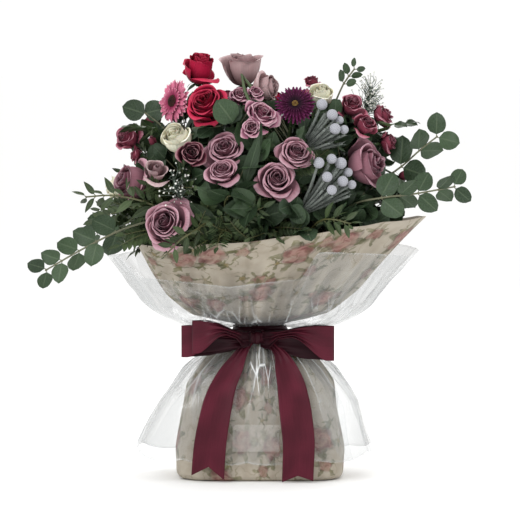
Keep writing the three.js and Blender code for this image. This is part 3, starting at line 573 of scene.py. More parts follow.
# Rows of rays from the lowest: count, inner and outer radius, width, height, lift, as shares of the head's
# radius.
DAISY_ROWS = {
    "gerbera": [
        (26, 0.12, 1.0, 0.23, 0.12, 0.1),
        (24, 0.12, 0.95, 0.21, 0.2, 0.14),
        (22, 0.2, 0.6, 0.12, 0.28, 0.3),
    ],
    "aster": [
        (30, 0.12, 1.05, 0.14, 0.1, 0.06),
        (28, 0.12, 0.96, 0.13, 0.18, 0.16),
        (26, 0.12, 0.8, 0.11, 0.25, 0.34),
        (24, 0.1, 0.5, 0.08, 0.3, 0.6),
    ],
}


# ---- Leaves ----

# Each form: where it is widest, how blunt it is, how far its halves fold up, and how much it curls along
# its length.
LEAF_FORMS = {
    "round": (0.86, 0.55, 0.10, -0.15),
    "oval": (0.74, 0.8, 0.16, -0.35),
    "lance": (0.8, 0.9, 0.22, -0.3),
    "leaflet": (0.7, 0.75, 0.18, -0.45),
}


def blade_points(foot, ahead, aside, up, ways):
    """A grid of points from its foot: how far each lies along, beside and above, in those three
    directions."""
    along, side, normal = ways
    return foot + ahead[..., None] * along + aside[..., None] * side + up[..., None] * normal


def leaf(work, foot, along, normal, length, width, form, rng, finish, bend=None):
    """One leaf from its foot: blade outline by form, folded along the midrib and curved."""
    skew, blunt, fold, curl = LEAF_FORMS[form]
    curl = (curl if bend is None else bend) * rng.uniform(0.6, 1.4)
    side, normal, along = frame_on(along, normal)
    v = np.linspace(0, 1, 9 if length > 18 else 7)[:, None]
    u = np.linspace(-1, 1, 7 if length > 18 else 5)[None, :]
    half = 0.5 * width * np.maximum(np.sin(np.pi * np.clip(v, 0, 1) ** skew), 0) ** blunt
    half = half + 0.012 * length * (1 - v)
    angle = curl * v
    run = length * np.where(abs(curl) < 1e-3, v, np.sin(angle) / curl)
    rise = length * np.where(abs(curl) < 1e-3, 0 * v, (1 - np.cos(angle)) / curl)
    wave = 0.05 * width * np.sin(7 * v + 20 * rng.uniform()) * np.abs(u)
    lift = rise + fold * half * np.abs(u) * 2 - fold * half * u**2 + wave
    points = blade_points(foot, run, u * half, lift, (along, side, normal))
    work.grid(points, (v, np.abs(u), rng.uniform(), 0.5), finish)


def needle(work, foot, along, normal, length, width, chance, finish):
    """One short narrow leaf that hugs its twig."""
    side, normal, along = frame_on(along, normal)
    v = np.array([0, 0.35, 0.75, 1.0])[:, None]
    u = np.array([-1.0, 0, 1])[None, :]
    half = 0.5 * width * np.array([0.7, 1, 0.6, 0.05])[:, None]
    lift = 0.12 * length * v**2 + 0.3 * half * (1 - np.abs(u))
    points = blade_points(foot, length * v, u * half, lift, (along, side, normal))
    work.grid(points, (v, np.abs(u), chance, 0.5), finish)


def compound_leaf(
    work, foot, along, normal, length, width, pairs, form, rng, finishes, rachis=0.6, leaflet=0.45
):
    """Pairs of leaflets and one at the tip, along a thin rachis."""
    side, normal, along = frame_on(along, normal)
    tip = foot + along * length * rachis - normal * 0.08 * length
    line = smooth_line([foot, foot + along * length * rachis * 0.55 + normal * 0.03 * length, tip], 7)
    tube(work, line, (0.6, 0.35), finishes["stem"], 5)
    for i in range(pairs):
        share = 0.25 + 0.62 * i / max(1, pairs - 1)
        at = line[0] + (line[-1] - line[0]) * share
        for hand in (-1, 1):
            away = unit(side * hand + along * 0.65)
            face = normal + 0.3 * hand * side
            leaf(work, at, away, face, length * leaflet, width, form, rng, finishes["leaf"])
    leaf(work, tip, along, normal, length * leaflet * 1.1, width * 1.1, form, rng, finishes["leaf"])


# ---- Room between the heads ----


# What is taken, as balls: middle and radius of each flower head and of each brunia ball.
HEAD_ROOM = np.array([
    (x, y, z, radius)
    for group in (ROSES, SPRAYS, DAISIES)
    for _, heads in group.values()
    for _, x, y, z, _, _, radius in heads
])
BALL_ROOM = np.array([ball for balls in BRUNIAS.values() for ball in balls], float)
# The room before the brunia twigs, which leaves stay out of: half way along each twig, and as wide as the
# fan.
FAN_ROOM = np.array([
    (*(0.5 * (np.array(FORKS[name]) + ball[:3]) + [0, -6, 0]), 12)
    for name, balls in BRUNIAS.items()
    for ball in balls
])
ALL_ROOM = (HEAD_ROOM, BALL_ROOM, FAN_ROOM)
# Leaves stay above the paper's rim, which rises to the right, and below the crown of the bunch.
RIM_Z = 262
RIM_SLOPE = 0.1
CROWN_Z = 425
# Heads before this depth are seen from the front, the others from the back, and this much of one stays in
# view.
FRONT_Y = 20
SEEN_SHARE = 0.93


def clear(points, share=0.95, spare=3, rooms=(HEAD_ROOM, BALL_ROOM)):
    """Whether the points lie between the paper's rim and the crown, none of them inside a flower head or a
    brunia ball or where it would hide a head."""
    points = np.asarray(points)
    if (points[:, 2] < RIM_Z + RIM_SLOPE * points[:, 0]).any() or (points[:, 2] > CROWN_Z).any():
        return False
    for room in rooms:
        gaps = np.linalg.norm(points[:, None, :] - room[None, :, :3], axis=2) - room[:, 3] * share
        if gaps.min() < spare:
            return False
    away = points[:, None, :] - HEAD_ROOM[None, :, :3]
    before = away[..., 1] * np.where(HEAD_ROOM[:, 1] < FRONT_Y, -1, 1) > 0
    return not (before & (np.hypot(away[..., 0], away[..., 2]) < SEEN_SHARE * HEAD_ROOM[:, 3])).any()


# ---- Flowers as whole pieces ----


LOWEST_LEAF_Z = 250


def dress_stem(work, name, heads, rng, finishes):
    """The node's own stem up to the neck, and up to three compound leaves below the head where there is
    room."""
    route = [*stem_line(name, heads), neck_of(heads[0])]
    line = smooth_line(route, 26)
    tube(work, line, (2.4, 1.9), finishes["stem"])
    for back in (3, 5, 8):
        foot = line[-back]
        if foot[2] < LOWEST_LEAF_Z:
            continue
        out = unit(foot - np.array([0, 0, foot[2] - 60]))
        for _ in range(6):
            way = unit(out + rng.normal(0, 0.55, 3))
            long_ = rng.uniform(34, 52)
            if clear([foot + way * long_ * share for share in (0.35, 0.6, 0.85, 1.1, 1.35)]):
                face = frame_on(way)[1] + 0.3 * out
                compound_leaf(work, foot, way, face, long_, 15, 2, "leaflet", rng, finishes)
                break
    return line


def side_twigs(work, line, heads, finishes):
    """The thin twigs that carry the side heads of a spray."""
    fork = line[-6]
    for head in heads[1:]:
        neck = neck_of(head)
        behind = neck - 0.3 * np.linalg.norm(neck - fork) * facing(head[4], head[5])
        twig = smooth_line([fork, fork + 0.55 * (behind - fork), neck], 10)
        tube(work, twig, (1.5, 1.1), finishes["stem"], 6)


def flower_piece(name, kind, heads, slot, materials):
    """One cut flower: stem, leaves and heads in one mesh."""
    rng = seeded(name)
    work = Gathering()
    finishes = {"petal": 0, "stem": 1, "leaf": 2, "eye": 3}
    line = dress_stem(work, name, heads, rng, finishes)
    side_twigs(work, line, heads, finishes)
    for head in heads:
        if kind in DAISY_ROWS:
            daisy_head(work, head, kind, rng, finishes)
        else:
            rose_head(work, head, BLOOMS[kind], rng, finishes)
    return settle(work.piece(name + "_bloom", materials), slot, name)


# The places of the brunia's two finishes, and the knobs on a ball.
BALL, TWIG = 0, 1
KNOBS = 110


def brunia_ball(work, centre, radius, rng):
    """A felted ball covered in small knobs."""
    way = ball_grid(30, 44)
    i = np.arange(KNOBS)
    z = 1 - (2 * i + 1) / KNOBS
    flat = np.sqrt(1 - z**2)
    knobs = joined(flat * np.cos(i * GOLDEN_TURN), flat * np.sin(i * GOLDEN_TURN), z)
    near = (way @ knobs.T).max(-1)
    bump = np.clip((near - 0.978) / 0.022, 0, 1) ** 0.7
    twist = frame_on(rng.normal(0, 1, 3))
    points = centre + (way * (radius * (0.95 + 0.06 * bump))[..., None]) @ twist
    work.grid(points, (bump, 0.5, rng.uniform(), 0.5), BALL, around=True)


def downy_twig(work, twig, rng):
    """A twig felted with short needles that lie close to it."""
    tube(work, twig, (1.8, 1.4), TWIG)
    ahead = np.gradient(twig, axis=0)
    for _ in range(66):
        share = rng.uniform(0, len(twig) - 1.01)
        k = int(share)
        at = twig[k] + (twig[k + 1] - twig[k]) * (share - k)
        along = unit(ahead[k])
        away = unit(np.cross(along, rng.normal(0, 1, 3)))
        way = unit(along + 0.28 * away)
        needle(work, at + 0.9 * away, way, away, rng.uniform(3.5, 5.5), 1.3, rng.uniform(), TWIG)


def brunia_piece(name, materials):
    """Felted balls on downy twigs that fan from one fork, and a few twigs whose balls have not formed."""
    rng = seeded(name)
    work = Gathering()
    fork = np.array(FORKS[name], float)
    stem = [point for point in stem_line(name) if point[2] < fork[2] - 25]
    line = smooth_line([*stem, fork], 24)
    tube(work, line, (2.4, 2.0), TWIG)
    balls = np.array([ball[:3] for ball in BRUNIAS[name]], float)
    for ball, (*_, radius) in zip(balls, BRUNIAS[name]):
        way = ball - fork
        twig = smooth_line([line[-2], fork + 0.5 * way + [0, 0, -4], ball - 0.6 * radius * unit(way)], 12)
        downy_twig(work, twig, rng)
        brunia_ball(work, ball, radius, rng)
    for _ in range(26):
        first, second = balls[rng.integers(len(balls), size=2)]
        tip = first + (second - first) * rng.uniform(-0.5, 1.5)
        tip = fork + (tip - fork) * rng.uniform(0.7, 1.0) + rng.normal(0, 4, 3) + [3, 4, -3]
        twig = smooth_line([line[-2], fork + 0.5 * (tip - fork) + [0, 0, -4], tip], 12)
        if clear(twig[6:], 1.0, 1.0):
            downy_twig(work, twig, rng)
    return settle(work.piece(name + "_sprig", materials), "silver_brunia", name)


# ---- Foliage ----

FOLIAGE_FORMS = {"eucalyptus": "round", "salal": "oval", "pistacia": "lance", "gypsophila": "lance"}


BUNCH_MIDDLE = np.array([4, 0, 292])
BUNCH_REACH = (158, 134, 160)
FILL_SEED = 7


def bed_places(count):
    """Places between the heads, on a dome a little lower than them, for the foliage that fills the
    bunch."""
    rng = np.random.default_rng(FILL_SEED)
    places = []
    for i in range(count):
        height = -0.22 + 1.17 * (i + 0.5) / count
        turn = i * GOLDEN_TURN + rng.uniform(-0.1, 0.1)
        flat = math.sqrt(max(0, 1 - height**2))
        way = np.array([flat * math.cos(turn), flat * math.sin(turn), height])
        depth = 0.9 - 0.38 * rng.uniform() ** 1.5
        places.append((BUNCH_MIDDLE + way * BUNCH_REACH * depth, unit(way)))
    return places


def suits(kind, place):
    """How far a branch of this kind reaches for a place, less being readier: fine leaves low down at the
    left and the back, round ones along the right rim, broad ones low in the middle of the front."""
    x, _, z = place
    if kind == "salal":
        return 0.4 if abs(x + 30) < 42 and 282 < z < 345 else 1.6
    if kind == "eucalyptus":
        return 0.3 if x > 26 and z < 335 else 1.1
    return 0.45 if z < 330 and x < 0 else 1.2


def fill_between(works, lines, finishes, count):
    """Sprigs of leaves in the gaps, each on a twig of a branch near it, which forks off above the waist."""
    rng = np.random.default_rng(FILL_SEED)
    names = [name for name in lines if plant_of(name) != "gypsophila"]
    for place, way in bed_places(count):
        if not clear([place], 1.0, 5, ALL_ROOM):
            continue
        gaps = []
        for name in names:
            gap = np.linalg.norm(lines[name][-4:].mean(0) - place)
            gaps.append(gap * suits(plant_of(name), place) * rng.uniform(0.85, 1.2))
        name = names[int(np.argmin(gaps))]
        line = lines[name]
        low = line[(line[:, 2] > 195) & (line[:, 2] < place[2] + 5)]
        fork = line[len(line) // 2]
        if len(low):
            fork = low[np.argmin(np.linalg.norm(low - place * [0.55, 0.55, 0.86], axis=1))]
        twig = smooth_line([fork, fork + 0.5 * (place - fork) + way * 4, place], 8)
        tube(works[name], twig, (1.1, 0.6), finishes["stem"], 5)
        sprig(works[name], plant_of(name), place, way, rng, finishes)


def sprig(work, kind, place, way, rng, finishes):
    """A few leaves at the end of a twig, as the plant carries them."""
    if kind == "pistacia":
        for _ in range(3):
            along = unit(way + rng.normal(0, 0.75, 3))
            if clear([place + along * 20, place + along * 40], 1.0, 2, ALL_ROOM):
                normal = way + rng.normal(0, 0.3, 3)
                size = rng.uniform(38, 56), rng.uniform(4.5, 6)
                compound_leaf(work, place, along, normal, *size, 6, "lance", rng, finishes, 0.9, 0.26)
        return
    length, width = {"eucalyptus": (28, 23), "salal": (36, 24)}[kind]
    for _ in range(4):
        along = unit(way * 0.7 + rng.normal(0, 0.6, 3))
        size = rng.uniform(0.7, 1.1)
        if clear([place + along * length * size * share for share in (0.4, 0.8, 1.0)], rooms=ALL_ROOM):
            normal = way + 0.4 * rng.normal(0, 1, 3)
            form, finish = FOLIAGE_FORMS[kind], finishes["leaf"]
            leaf(work, place, along, normal, length * size, width * size, form, rng, finish)


HAZE_TOP_Z = 468
# Each haze of blossoms: its middle, how far it spreads and how many tips it has.
HAZES = {
    "gypsophila_right": ((122, 2, 417), (8, 8, 14), 210),
    "gypsophila_left": ((-88, -104, 324), (14, 8, 13), 64),
}


def blossoms(work, name, line, rng, finishes):
    """A haze of tiny white blossoms on hair-fine twigs."""
    middle, spread, count = HAZES[name]
    for _ in range(count):
        tip = np.array(middle) + rng.normal(0, 0.75, 3) * spread
        tip[2] = min(tip[2], HAZE_TOP_Z)
        fork = line[int(np.argmin(np.linalg.norm(line - tip + [0, 0, 16], axis=1)))]
        elbow = 0.5 * (fork + tip) + rng.normal(0, 2, 3)
        tube(work, smooth_line([fork, elbow, tip], 5), (0.35, 0.22), finishes["stem"], 4)
        stand = frame_on(rng.normal(0, 1, 3))
        for k in range(6):
            along = unit(spoke(stand, k * 1.05) + 0.6 * stand[2])
            needle(work, tip, along, stand[2], 1.6, 1.3, rng.uniform(), finishes["leaf"])


# Leaves that lie free in front of the heads: foot, the way they point, length, width and form.
FREE_LEAVES = {
    "eucalyptus_round_left": (
        [(-92, -18, 372), (-46, -46, 386), (-30, -84, 396)],
        [
            ((-29, -88, 392), (-0.55, -0.1, 0.75), 30, 29, "round"),
            ((-30, -84, 390), (-0.1, 0.1, 1), 26, 24, "round"),
            ((-127, -9, 400), (-0.9, -0.1, 0.3), 26, 25, "round"),
            ((-127, -9, 400), (0.9, 0, 0.25), 24, 25, "round"),
            ((-114, -12, 392), (0.1, -0.1, -1), 24, 18, "round"),
        ],
    ),
    "salal_front": (
        [(-34, -120, 312), (-22, -112, 332), (-14, -108, 350)],
        [
            ((-16, -112, 326), (0.28, -0.1, 0.95), 56, 14, "lance"),
            ((-8, -110, 344), (0.2, 0, 0.95), 50, 10, "lance"),
        ],
    ),
}
# The way their upper faces look: at the viewer and a little up.
FREE_LEAF_FACE = np.array([0.1, -1, 0.35])


def free_leaves(work, name, rng, finishes):
    """The twig of a branch that comes out between the heads, with its leaves lying over them."""
    bends, leaves = FREE_LEAVES[name]
    tube(work, smooth_line(bends, 14), (1.1, 0.7), finishes["stem"], 6)
    for foot, way, length, width, form in leaves:
        foot, way = np.array(foot, float), unit(np.array(way))
        leaf(work, foot, way, FREE_LEAF_FACE, length, width, form, rng, finishes["leaf"])


def branch_leaves(work, name, bends, leaves, rng, finishes):
    """The leaves that the branch carries where it reaches out of the bunch."""
    path = smooth_line(bends, 60)
    headings = np.gradient(path, axis=0)
    form = FOLIAGE_FORMS[plant_of(name)]
    for share, turn, length, width in leaves:
        i = int(round(min(share, 0.985) * (len(path) - 1)))
        ahead = unit(headings[i])
        level = unit(np.cross([0, 0, 1], ahead))
        angle = math.radians(turn + rng.uniform(-9, 9))
        out = level * math.cos(angle) + np.cross(ahead, level) * math.sin(angle)
        along = unit(0.8 * out + 0.6 * ahead)
        stalk = path[i] + along * 3
        tube(work, np.array([path[i], 0.5 * (path[i] + stalk), stalk]), (0.7, 0.5), finishes["stem"], 5)
        leaf(work, stalk, along, np.cross(ahead, out), length, width, form, rng, finishes["leaf"])


# ---- The wrapping's shape ----

WAIST_Z = 164
# How far the paper's collar leans to the right, how steeply its rim rises there, and over what height it
# leans.
COLLAR_SHIFT = 29
COLLAR_TILT = 0.1
COLLAR_RISE = 110
PAPER_WAIST = 25.65
FILM_WAIST = 26.95
# A turn round the stems becomes a place along the flat sheet by this radius.
LIE_RADIUS = 95
BAG_LIE_RADIUS = 60
# Radius and height of each layer from its lower edge up, then how deep it is for its width at a height.
PAPER_OUTLINE = [
    (88, 0), (92, 4), (92, 32), (80, 103), (60, 132), (30, 156), (PAPER_WAIST, 160), (PAPER_WAIST, 168),
    (48, 172.5), (76, 180), (106, 203), (142, 247), (160, 268),
]
FILM_OUTLINE = [
    (126, 40), (106, 84), (80, 120), (66, 133), (32.4, 157.2), (FILM_WAIST, 161), (FILM_WAIST, 167),
    (58, 169.5), (90, 174.5), (116, 189), (168, 243),
]
BAG_OUTLINE = [(62, 1.5), (66, 6), (68, 40), (56, 112), (40, 136), (26, 150), (24.6, 156.5)]
PAPER_DEPTH = [(0, 0.78), (103, 0.76), (132, 0.8), (158, 1), (170, 1), (200, 0.82), (268, 0.76)]
FILM_DEPTH = [(28, 0.62), (62, 0.62), (105, 0.685), (133, 0.77), (158, 1), (168, 1), (200, 0.76), (245, 0.75)]
BAG_DEPTH = [(0, 0.84), (112, 0.9), (145, 1)]


def rows_of(table, z):
    """Values of a table at heights, on straight lines between its rows."""
    heights, values = zip(*table)
    return np.interp(z, heights, values)


def eased(table, z):
    """Values of a table at heights, on a smooth line through its rows."""
    heights, values = smooth_line(table, 80).T
    return np.interp(z, heights, values)


def along_outline(outline, count, soft=3):
    """Radius, height and distance walked at even steps along an outline, its corners eased."""
    outline = np.array(outline, float)
    walked = walked_to(outline)
    even = np.linspace(0, walked[-1], count)
    radius, z = (np.interp(even, walked, outline[:, k]) for k in (0, 1))
    for _ in range(soft):
        soften(radius)
        soften(z)
    return radius[:, None], z[:, None], even[:, None]


def wrap_points(radius, turn, z, depth, shift):
    """Points of a layer round the stems: square-shouldered below, round at the waist, leaning above it."""
    n = 2 + 2.6 * (1 - smoothstep(z, 60, 150))
    across = np.abs(np.sin(turn)) ** n + (np.abs(np.cos(turn)) / rows_of(depth, z)) ** n
    reach = radius / across ** (1 / n)
    lean = np.clip((z - WAIST_Z) / COLLAR_RISE, 0, 1.1)
    x = reach * np.sin(turn) + shift * lean**2
    return joined(x, -reach * np.cos(turn), z + COLLAR_TILT * shift / COLLAR_SHIFT * x * lean)


def creases(turn, count, sharp, rng):
    """Uneven folds round the waist: ridges at jittered turns, from -1 to 1."""
    at = (np.arange(count) + rng.uniform(-0.35, 0.35, count)) * 2 * np.pi / count
    tall = rng.uniform(0.45, 1.0, count)
    away = (turn[..., None] - at + np.pi) % (2 * np.pi) - np.pi
    ridge = np.exp(-((np.abs(away) * count / sharp) ** 1.3)) * tall
    return 2 * ridge.max(-1) - 1


# ---- Wrapping ----


def paper_grid(rows=190, columns=505):
    """The printed paper: a flat base, a square-shouldered skirt, pleats at the waist and a flared
    collar."""
    rng = np.random.default_rng(11)
    radius, z, walk = along_outline([(2, 0), *PAPER_OUTLINE], rows)
    turn = np.linspace(-np.pi, np.pi, columns)[None, :]
    above = np.abs(z - WAIST_Z)
    fine = creases(turn[0], 38, 2.3, rng)[None, :]
    broad = creases(turn[0], 13, 2.0, rng)[None, :]
    near = smoothstep(above, 3, 26) * (1 - smoothstep(above, 30, 92))
    collar = smoothstep(z, 205, 262)
    push = 0.35 * fine + near * (2.6 * fine + 2.2 * broad)
    push = push + 2.2 * collar * np.sin(3 * turn + 0.7) + 1.4 * collar * broad
    skirt = smoothstep(z, 6, 40) * (1 - smoothstep(z, 110, 150))
    push = push + skirt * (1.3 * broad + 0.8 * np.sin(5 * turn + z / 23))
    points = wrap_points(radius + push, turn, z, PAPER_DEPTH, COLLAR_SHIFT)
    points[..., 2] += collar * (2.5 * np.sin(2 * turn - 0.5) + 1.2 * broad)
    return points, joined(turn * LIE_RADIUS, walk), near * (fine + broad) / 2 * 0.5 + 0.5


def film_grid(rows=150, columns=601):
    """The clear film: an open skirt below the waist and a loose, crinkled collar above it."""
    rng = np.random.default_rng(23)
    radius, z, walk = along_outline(FILM_OUTLINE, rows, 2)
    turn = np.linspace(-np.pi, np.pi, columns)[None, :]
    above = np.abs(z - WAIST_Z)
    fine = creases(turn[0], 44, 1.7, rng)[None, :]
    broad = creases(turn[0], 15, 1.5, rng)[None, :]
    reach = smoothstep(above, 3, 40)
    hugging = 1 - 0.62 * np.exp(-((turn / 0.9) ** 4)) * (z < WAIST_Z)
    crinkle = np.zeros((rows, columns))
    flat = joined(turn * LIE_RADIUS, walk)
    for _ in range(12):
        angle, length = rng.uniform(0, np.pi), rng.uniform(16, 60)
        phase = (flat @ [math.cos(angle), math.sin(angle)]) / length + rng.uniform()
        wave = 4 * np.abs(phase - np.floor(phase + 0.5)) - 1
        place = flat @ rng.uniform(-0.03, 0.03, 2) + rng.uniform(0, 6.28)
        crinkle += wave * length * 0.018 * np.clip(np.sin(place) + 0.35, 0, 1)
    lift = 0.5 + 0.5 * (0.55 * fine + 0.45 * broad)
    calm = 1 - 0.75 * smoothstep(above, 38, 78)
    loose = calm * (7.5 * lift + np.clip(crinkle, -2.5, 3.5)) + 4.5 - 3.0 * calm
    push = 0.2 + reach * hugging * loose * np.where(z > WAIST_Z, 1.15, 0.8)
    points = wrap_points(radius + push, turn, z, FILM_DEPTH, 4)
    # At the sides the underside of the collar sags towards the loops of the bow.
    sag = smoothstep(radius, 25, 54) * (1 - smoothstep(radius, 98, 142)) * (z > WAIST_Z)
    points[..., 2] -= 6.5 * sag * smoothstep(np.abs(np.sin(turn)), 0.5, 0.9)
    corner = np.abs((turn / np.pi * 4 + 0.35) % 2 - 1) ** 1.4
    rim = smoothstep(z, 196, 243)
    dip = 27 * smoothstep(turn, -1.3, -0.95) * (1 - smoothstep(turn, 0.3, 0.48)) - 9 * (1 - corner)
    points[..., 2] -= rim * dip
    # Below the waist the film is cut square: its corners stand out at the sides, its edges fall lower
    # between.
    hem = 1 - smoothstep(z, 40, 100)
    inside = 1 - np.abs(np.sin(turn)) ** 7
    points[..., 2] += hem * (3 * broad - 4 - 15 * inside)
    points[..., 0] -= 6 * hem
    ridge = np.clip(0.5 + 0.5 * fine + 0.12 * crinkle, 0, 1)
    return points, flat, ridge


def sheet_piece(name, grid, materials, slot, lining=None):
    """A sheet round the stems from its grid. lining is the share of its rows above which it has an inside
    of its own, just within it, in the second material."""
    points, lie, ridge = grid
    work = Gathering()
    rows = points.shape[0]
    share = np.linspace(0, 1, rows)[:, None]
    work.grid(points, (share, 0.5, ridge, 0.5), 0)
    places = [lie.reshape(-1, 2)]
    if lining is not None:
        first = int(rows * lining)
        inside = points[first:].copy()
        inside[..., :2] *= 0.994
        work.grid(inside[:, ::-1], (share[first:], 0.5, ridge[first:, ::-1], 0.5), 1)
        places.append(lie[first:, ::-1].reshape(-1, 2))
    piece = settle(work.piece(name + "_sheet", materials), slot, name)
    lay_out(piece, np.concatenate(places) * MM)
    return piece


# ---- Ribbon ----

RIBBON_WIDTH = 38
SATIN_THICK = 0.35
KNOT = np.array([-5.0, -41.0, 154.5])
KNOT_HALF = 7.2
# The loops leave the knot between these heights above and below its middle.
LOOP_OVER = 7
LOOP_UNDER = 6.5
LOOPS = {
    "bow_loop_left_back": dict(side=-1, reach=81, root=-39, front=-56.5, back=-51, middle=153, width=35),
    "bow_loop_left_front": dict(side=-1, reach=69, root=-45, front=-67, back=-60, middle=158.5, width=36),
    "bow_loop_right": dict(side=1, reach=86, root=-42, front=-61, back=-52, middle=151, width=38),
}
# How far before the stems a tail hangs at a height, how wide it shows there, and for each tail its middle
# line, the height of its end and how much lower the ends of its swallowtail and the notch between them are.
TAIL_FALL = [(1, -86), (28, -84.6), (60, -80), (84, -74), (116, -64), (134, -55), (147, -49), (157, -44)]
TAIL_WIDTHS = [(0, 35), (70, 34.5), (96, 32), (120, 27), (138, 16), (157, 9)]
TAILS = {
    "bow_tail_left": (
        [(0, -57), (37, -55), (64, -51), (97, -43), (122, -31), (139, -21), (157, -9)], 3.2, (5, 14, 0),
    ),
    "bow_tail_right": (
        [(0, 41), (37, 42.5), (60, 41), (100, 35), (122, 29), (139, 22), (157, 2)], 0.6, (0, 7, 1.5),
    ),
}


def ribbon_piece(name, points, along, across, length, width, materials, fold=0.0):
    """A strip of satin from its grid of points; its note holds the place along and across the weave, and
    how much painted shade its colour takes at each point, for lying deep in a fold."""
    work = Gathering()
    # The third note is the painted shade that the satin finish mixes into its colour.
    work.grid(points, (along, np.abs(across), fold, 0.5), 0)
    piece = settle(work.piece(name + "_satin", materials), "burgundy_satin", name)
    lay_out(piece, joined(along * length * MM, (across + 1) * 0.5 * width * MM))
    thicken(piece, SATIN_THICK, 0)
    return piece


def loop_piece(name, side, reach, root, front, back, middle, width, materials):
    """A loop of the bow: out from the knot in front, round its end, and back behind, gathered at the
    knot."""
    start = KNOT_HALF - 2
    centre = (front + back) / 2
    plan = [
        (start, root - 1.6), (reach * 0.14, 0.5 * (root + front) - 1), (reach * 0.36, front - 1.6),
        (reach * 0.66, front - 2.2), (reach * 0.9, front - 0.6), (reach - 1.2, front + 1.8), (reach, centre),
        (reach - 1.2, back - 1.8), (reach * 0.88, back + 0.8), (reach * 0.6, back + 1.6),
        (reach * 0.3, back + 0.6), (start, root + 1.6),
    ]
    line = smooth_line([(KNOT[0] + side * x, y, 0) for x, y in plan], 120)
    # In front the strip stays gathered along its upper edge and opens out to the loop's end; behind, it
    # opens at once, so that its inner face, which takes painted shade, shows under the front one.
    share = np.abs(line[:, 0:1] - KNOT[0]) / reach
    behind = smoothstep(line[:, 1:2], front, back)
    across = np.linspace(-1, 1, 37)[None, :]
    rise = smoothstep(share, 0.15, 0.85)
    upper = KNOT[2] + LOOP_OVER + (middle + width / 2 - KNOT[2] - LOOP_OVER) * rise
    front_tall = 8 + (width - 8) * smoothstep(share, 0.42, 0.92) + 7 * (1 - smoothstep(share, 0, 0.3))
    fall = middle - width / 2 - KNOT[2] + LOOP_UNDER
    back_low = KNOT[2] - LOOP_UNDER + fall * np.clip(share / 0.62, 0, 1) ** 0.75
    tall = front_tall * (1 - behind) + (upper - back_low) * behind
    height = upper - tall * (1 - across) / 2
    gather = np.clip(1 - tall / width, 0, 1)
    pleat = np.sin(9.5 * across + 1.3 * side + 2 * share)
    folds = gather * (2.1 * pleat + 0.8 * np.sin(16 * across))
    swell = 2.0 * (1 - gather) * share * (1 - share) * 4 * (1 - across**2)
    depth = line[:, 1:2] + folds - swell * np.where(line[:, 1:2] < centre, 1, -1)
    sag = 1.2 * np.sin(np.linspace(0, 3 * np.pi, len(line)))[:, None] * (1 - gather)
    points = joined(line[:, 0:1], depth, height + sag)
    along = np.linspace(0, 1, len(line))[:, None]
    valley = 0.5 + 0.5 * pleat
    # Painted shade: the inner face behind, short of the loop's end, and the pleat valleys where the strip is
    # gathered.
    fold = np.clip(behind * (1 - smoothstep(share, 0.8, 0.98)) + gather * (0.25 + 0.6 * valley), 0, 1)
    return ribbon_piece(name, points, along, across, steps(line).sum(), RIBBON_WIDTH, materials, fold)


def tail_piece(name, centres, end, notch, materials):
    """A tail hanging from the knot to the base, with a swallowtail end."""
    across = np.linspace(-1, 1, 21)[None, :]
    lower = end + np.interp(across, [-1, 0, 1], notch)
    down = np.linspace(0, 1, 130)[:, None]
    top = KNOT[2] - KNOT_HALF + 2
    z = top + (lower - top) * down
    width = eased(TAIL_WIDTHS, z)
    middle = eased(centres, z)
    gather = smoothstep(z, 118, 157) ** 1.2
    folds = gather * (1.9 * np.sin(8.5 * across + 0.8) + 0.9 * np.sin(14 * across + 2))
    ripple = 1.1 * np.sin(z / 27 + across * 0.8 + centres[0][1]) * (1 - gather)
    curl = 1.6 * across**2 * (1 - gather)
    billow = 2.2 * np.sin(z / 30 + centres[0][1]) * smoothstep(z, 8, 40) * (1 - gather)
    depth = eased(TAIL_FALL, z) - 0.9 + folds + 0.6 * ripple - curl * 0.7 - np.abs(billow)
    points = joined(middle + 0.5 * width * across + 0.6 * ripple, depth, z)
    length = steps(points[:, across.size // 2]).sum()
    # Painted shade in the gathered folds at the top of the tail, more towards one edge.
    fold = 0.7 * gather * (0.6 - 0.4 * across)
    return ribbon_piece(name, points, down, across, length, RIBBON_WIDTH, materials, fold)


def knot_piece(materials):
    """The wrapped centre of the bow: satin drawn round from top to bottom, creased along its way."""
    across = np.linspace(-1, 1, 25)[None, :]
    turn = np.linspace(-np.pi, np.pi, 61)[:, None]
    crease = 0.55 * np.sin(9 * across + 0.4 * np.sin(turn)) + 0.35 * np.sin(17 * across + 1)
    waist = 1 - 0.16 * (1 - across**2)
    deep = (7.6 + crease) * waist
    tall = (7.8 + crease) * (0.86 + 0.14 * across**2)
    x = KNOT[0] + 9.6 * across * (1 - 0.1 * np.cos(turn) ** 2)
    y = KNOT[1] + 1.0 - deep * np.sign(np.cos(turn)) * np.abs(np.cos(turn)) ** 0.7
    z = KNOT[2] + tall * np.sin(turn) + 0.8 * across
    points = joined(x, y, z)
    length = steps(points[:, 0]).sum()
    along = (turn + np.pi) / (2 * np.pi)
    # The whole knot takes painted shade, 0.7 of the way to the near-black fold colour.
    return ribbon_piece("bow_knot", points, along, across, length, RIBBON_WIDTH * 0.7, materials, 0.7)


BAND_RADIUS = 29.6
BAND_LENGTH = 190
BAND_WIDTH = 17


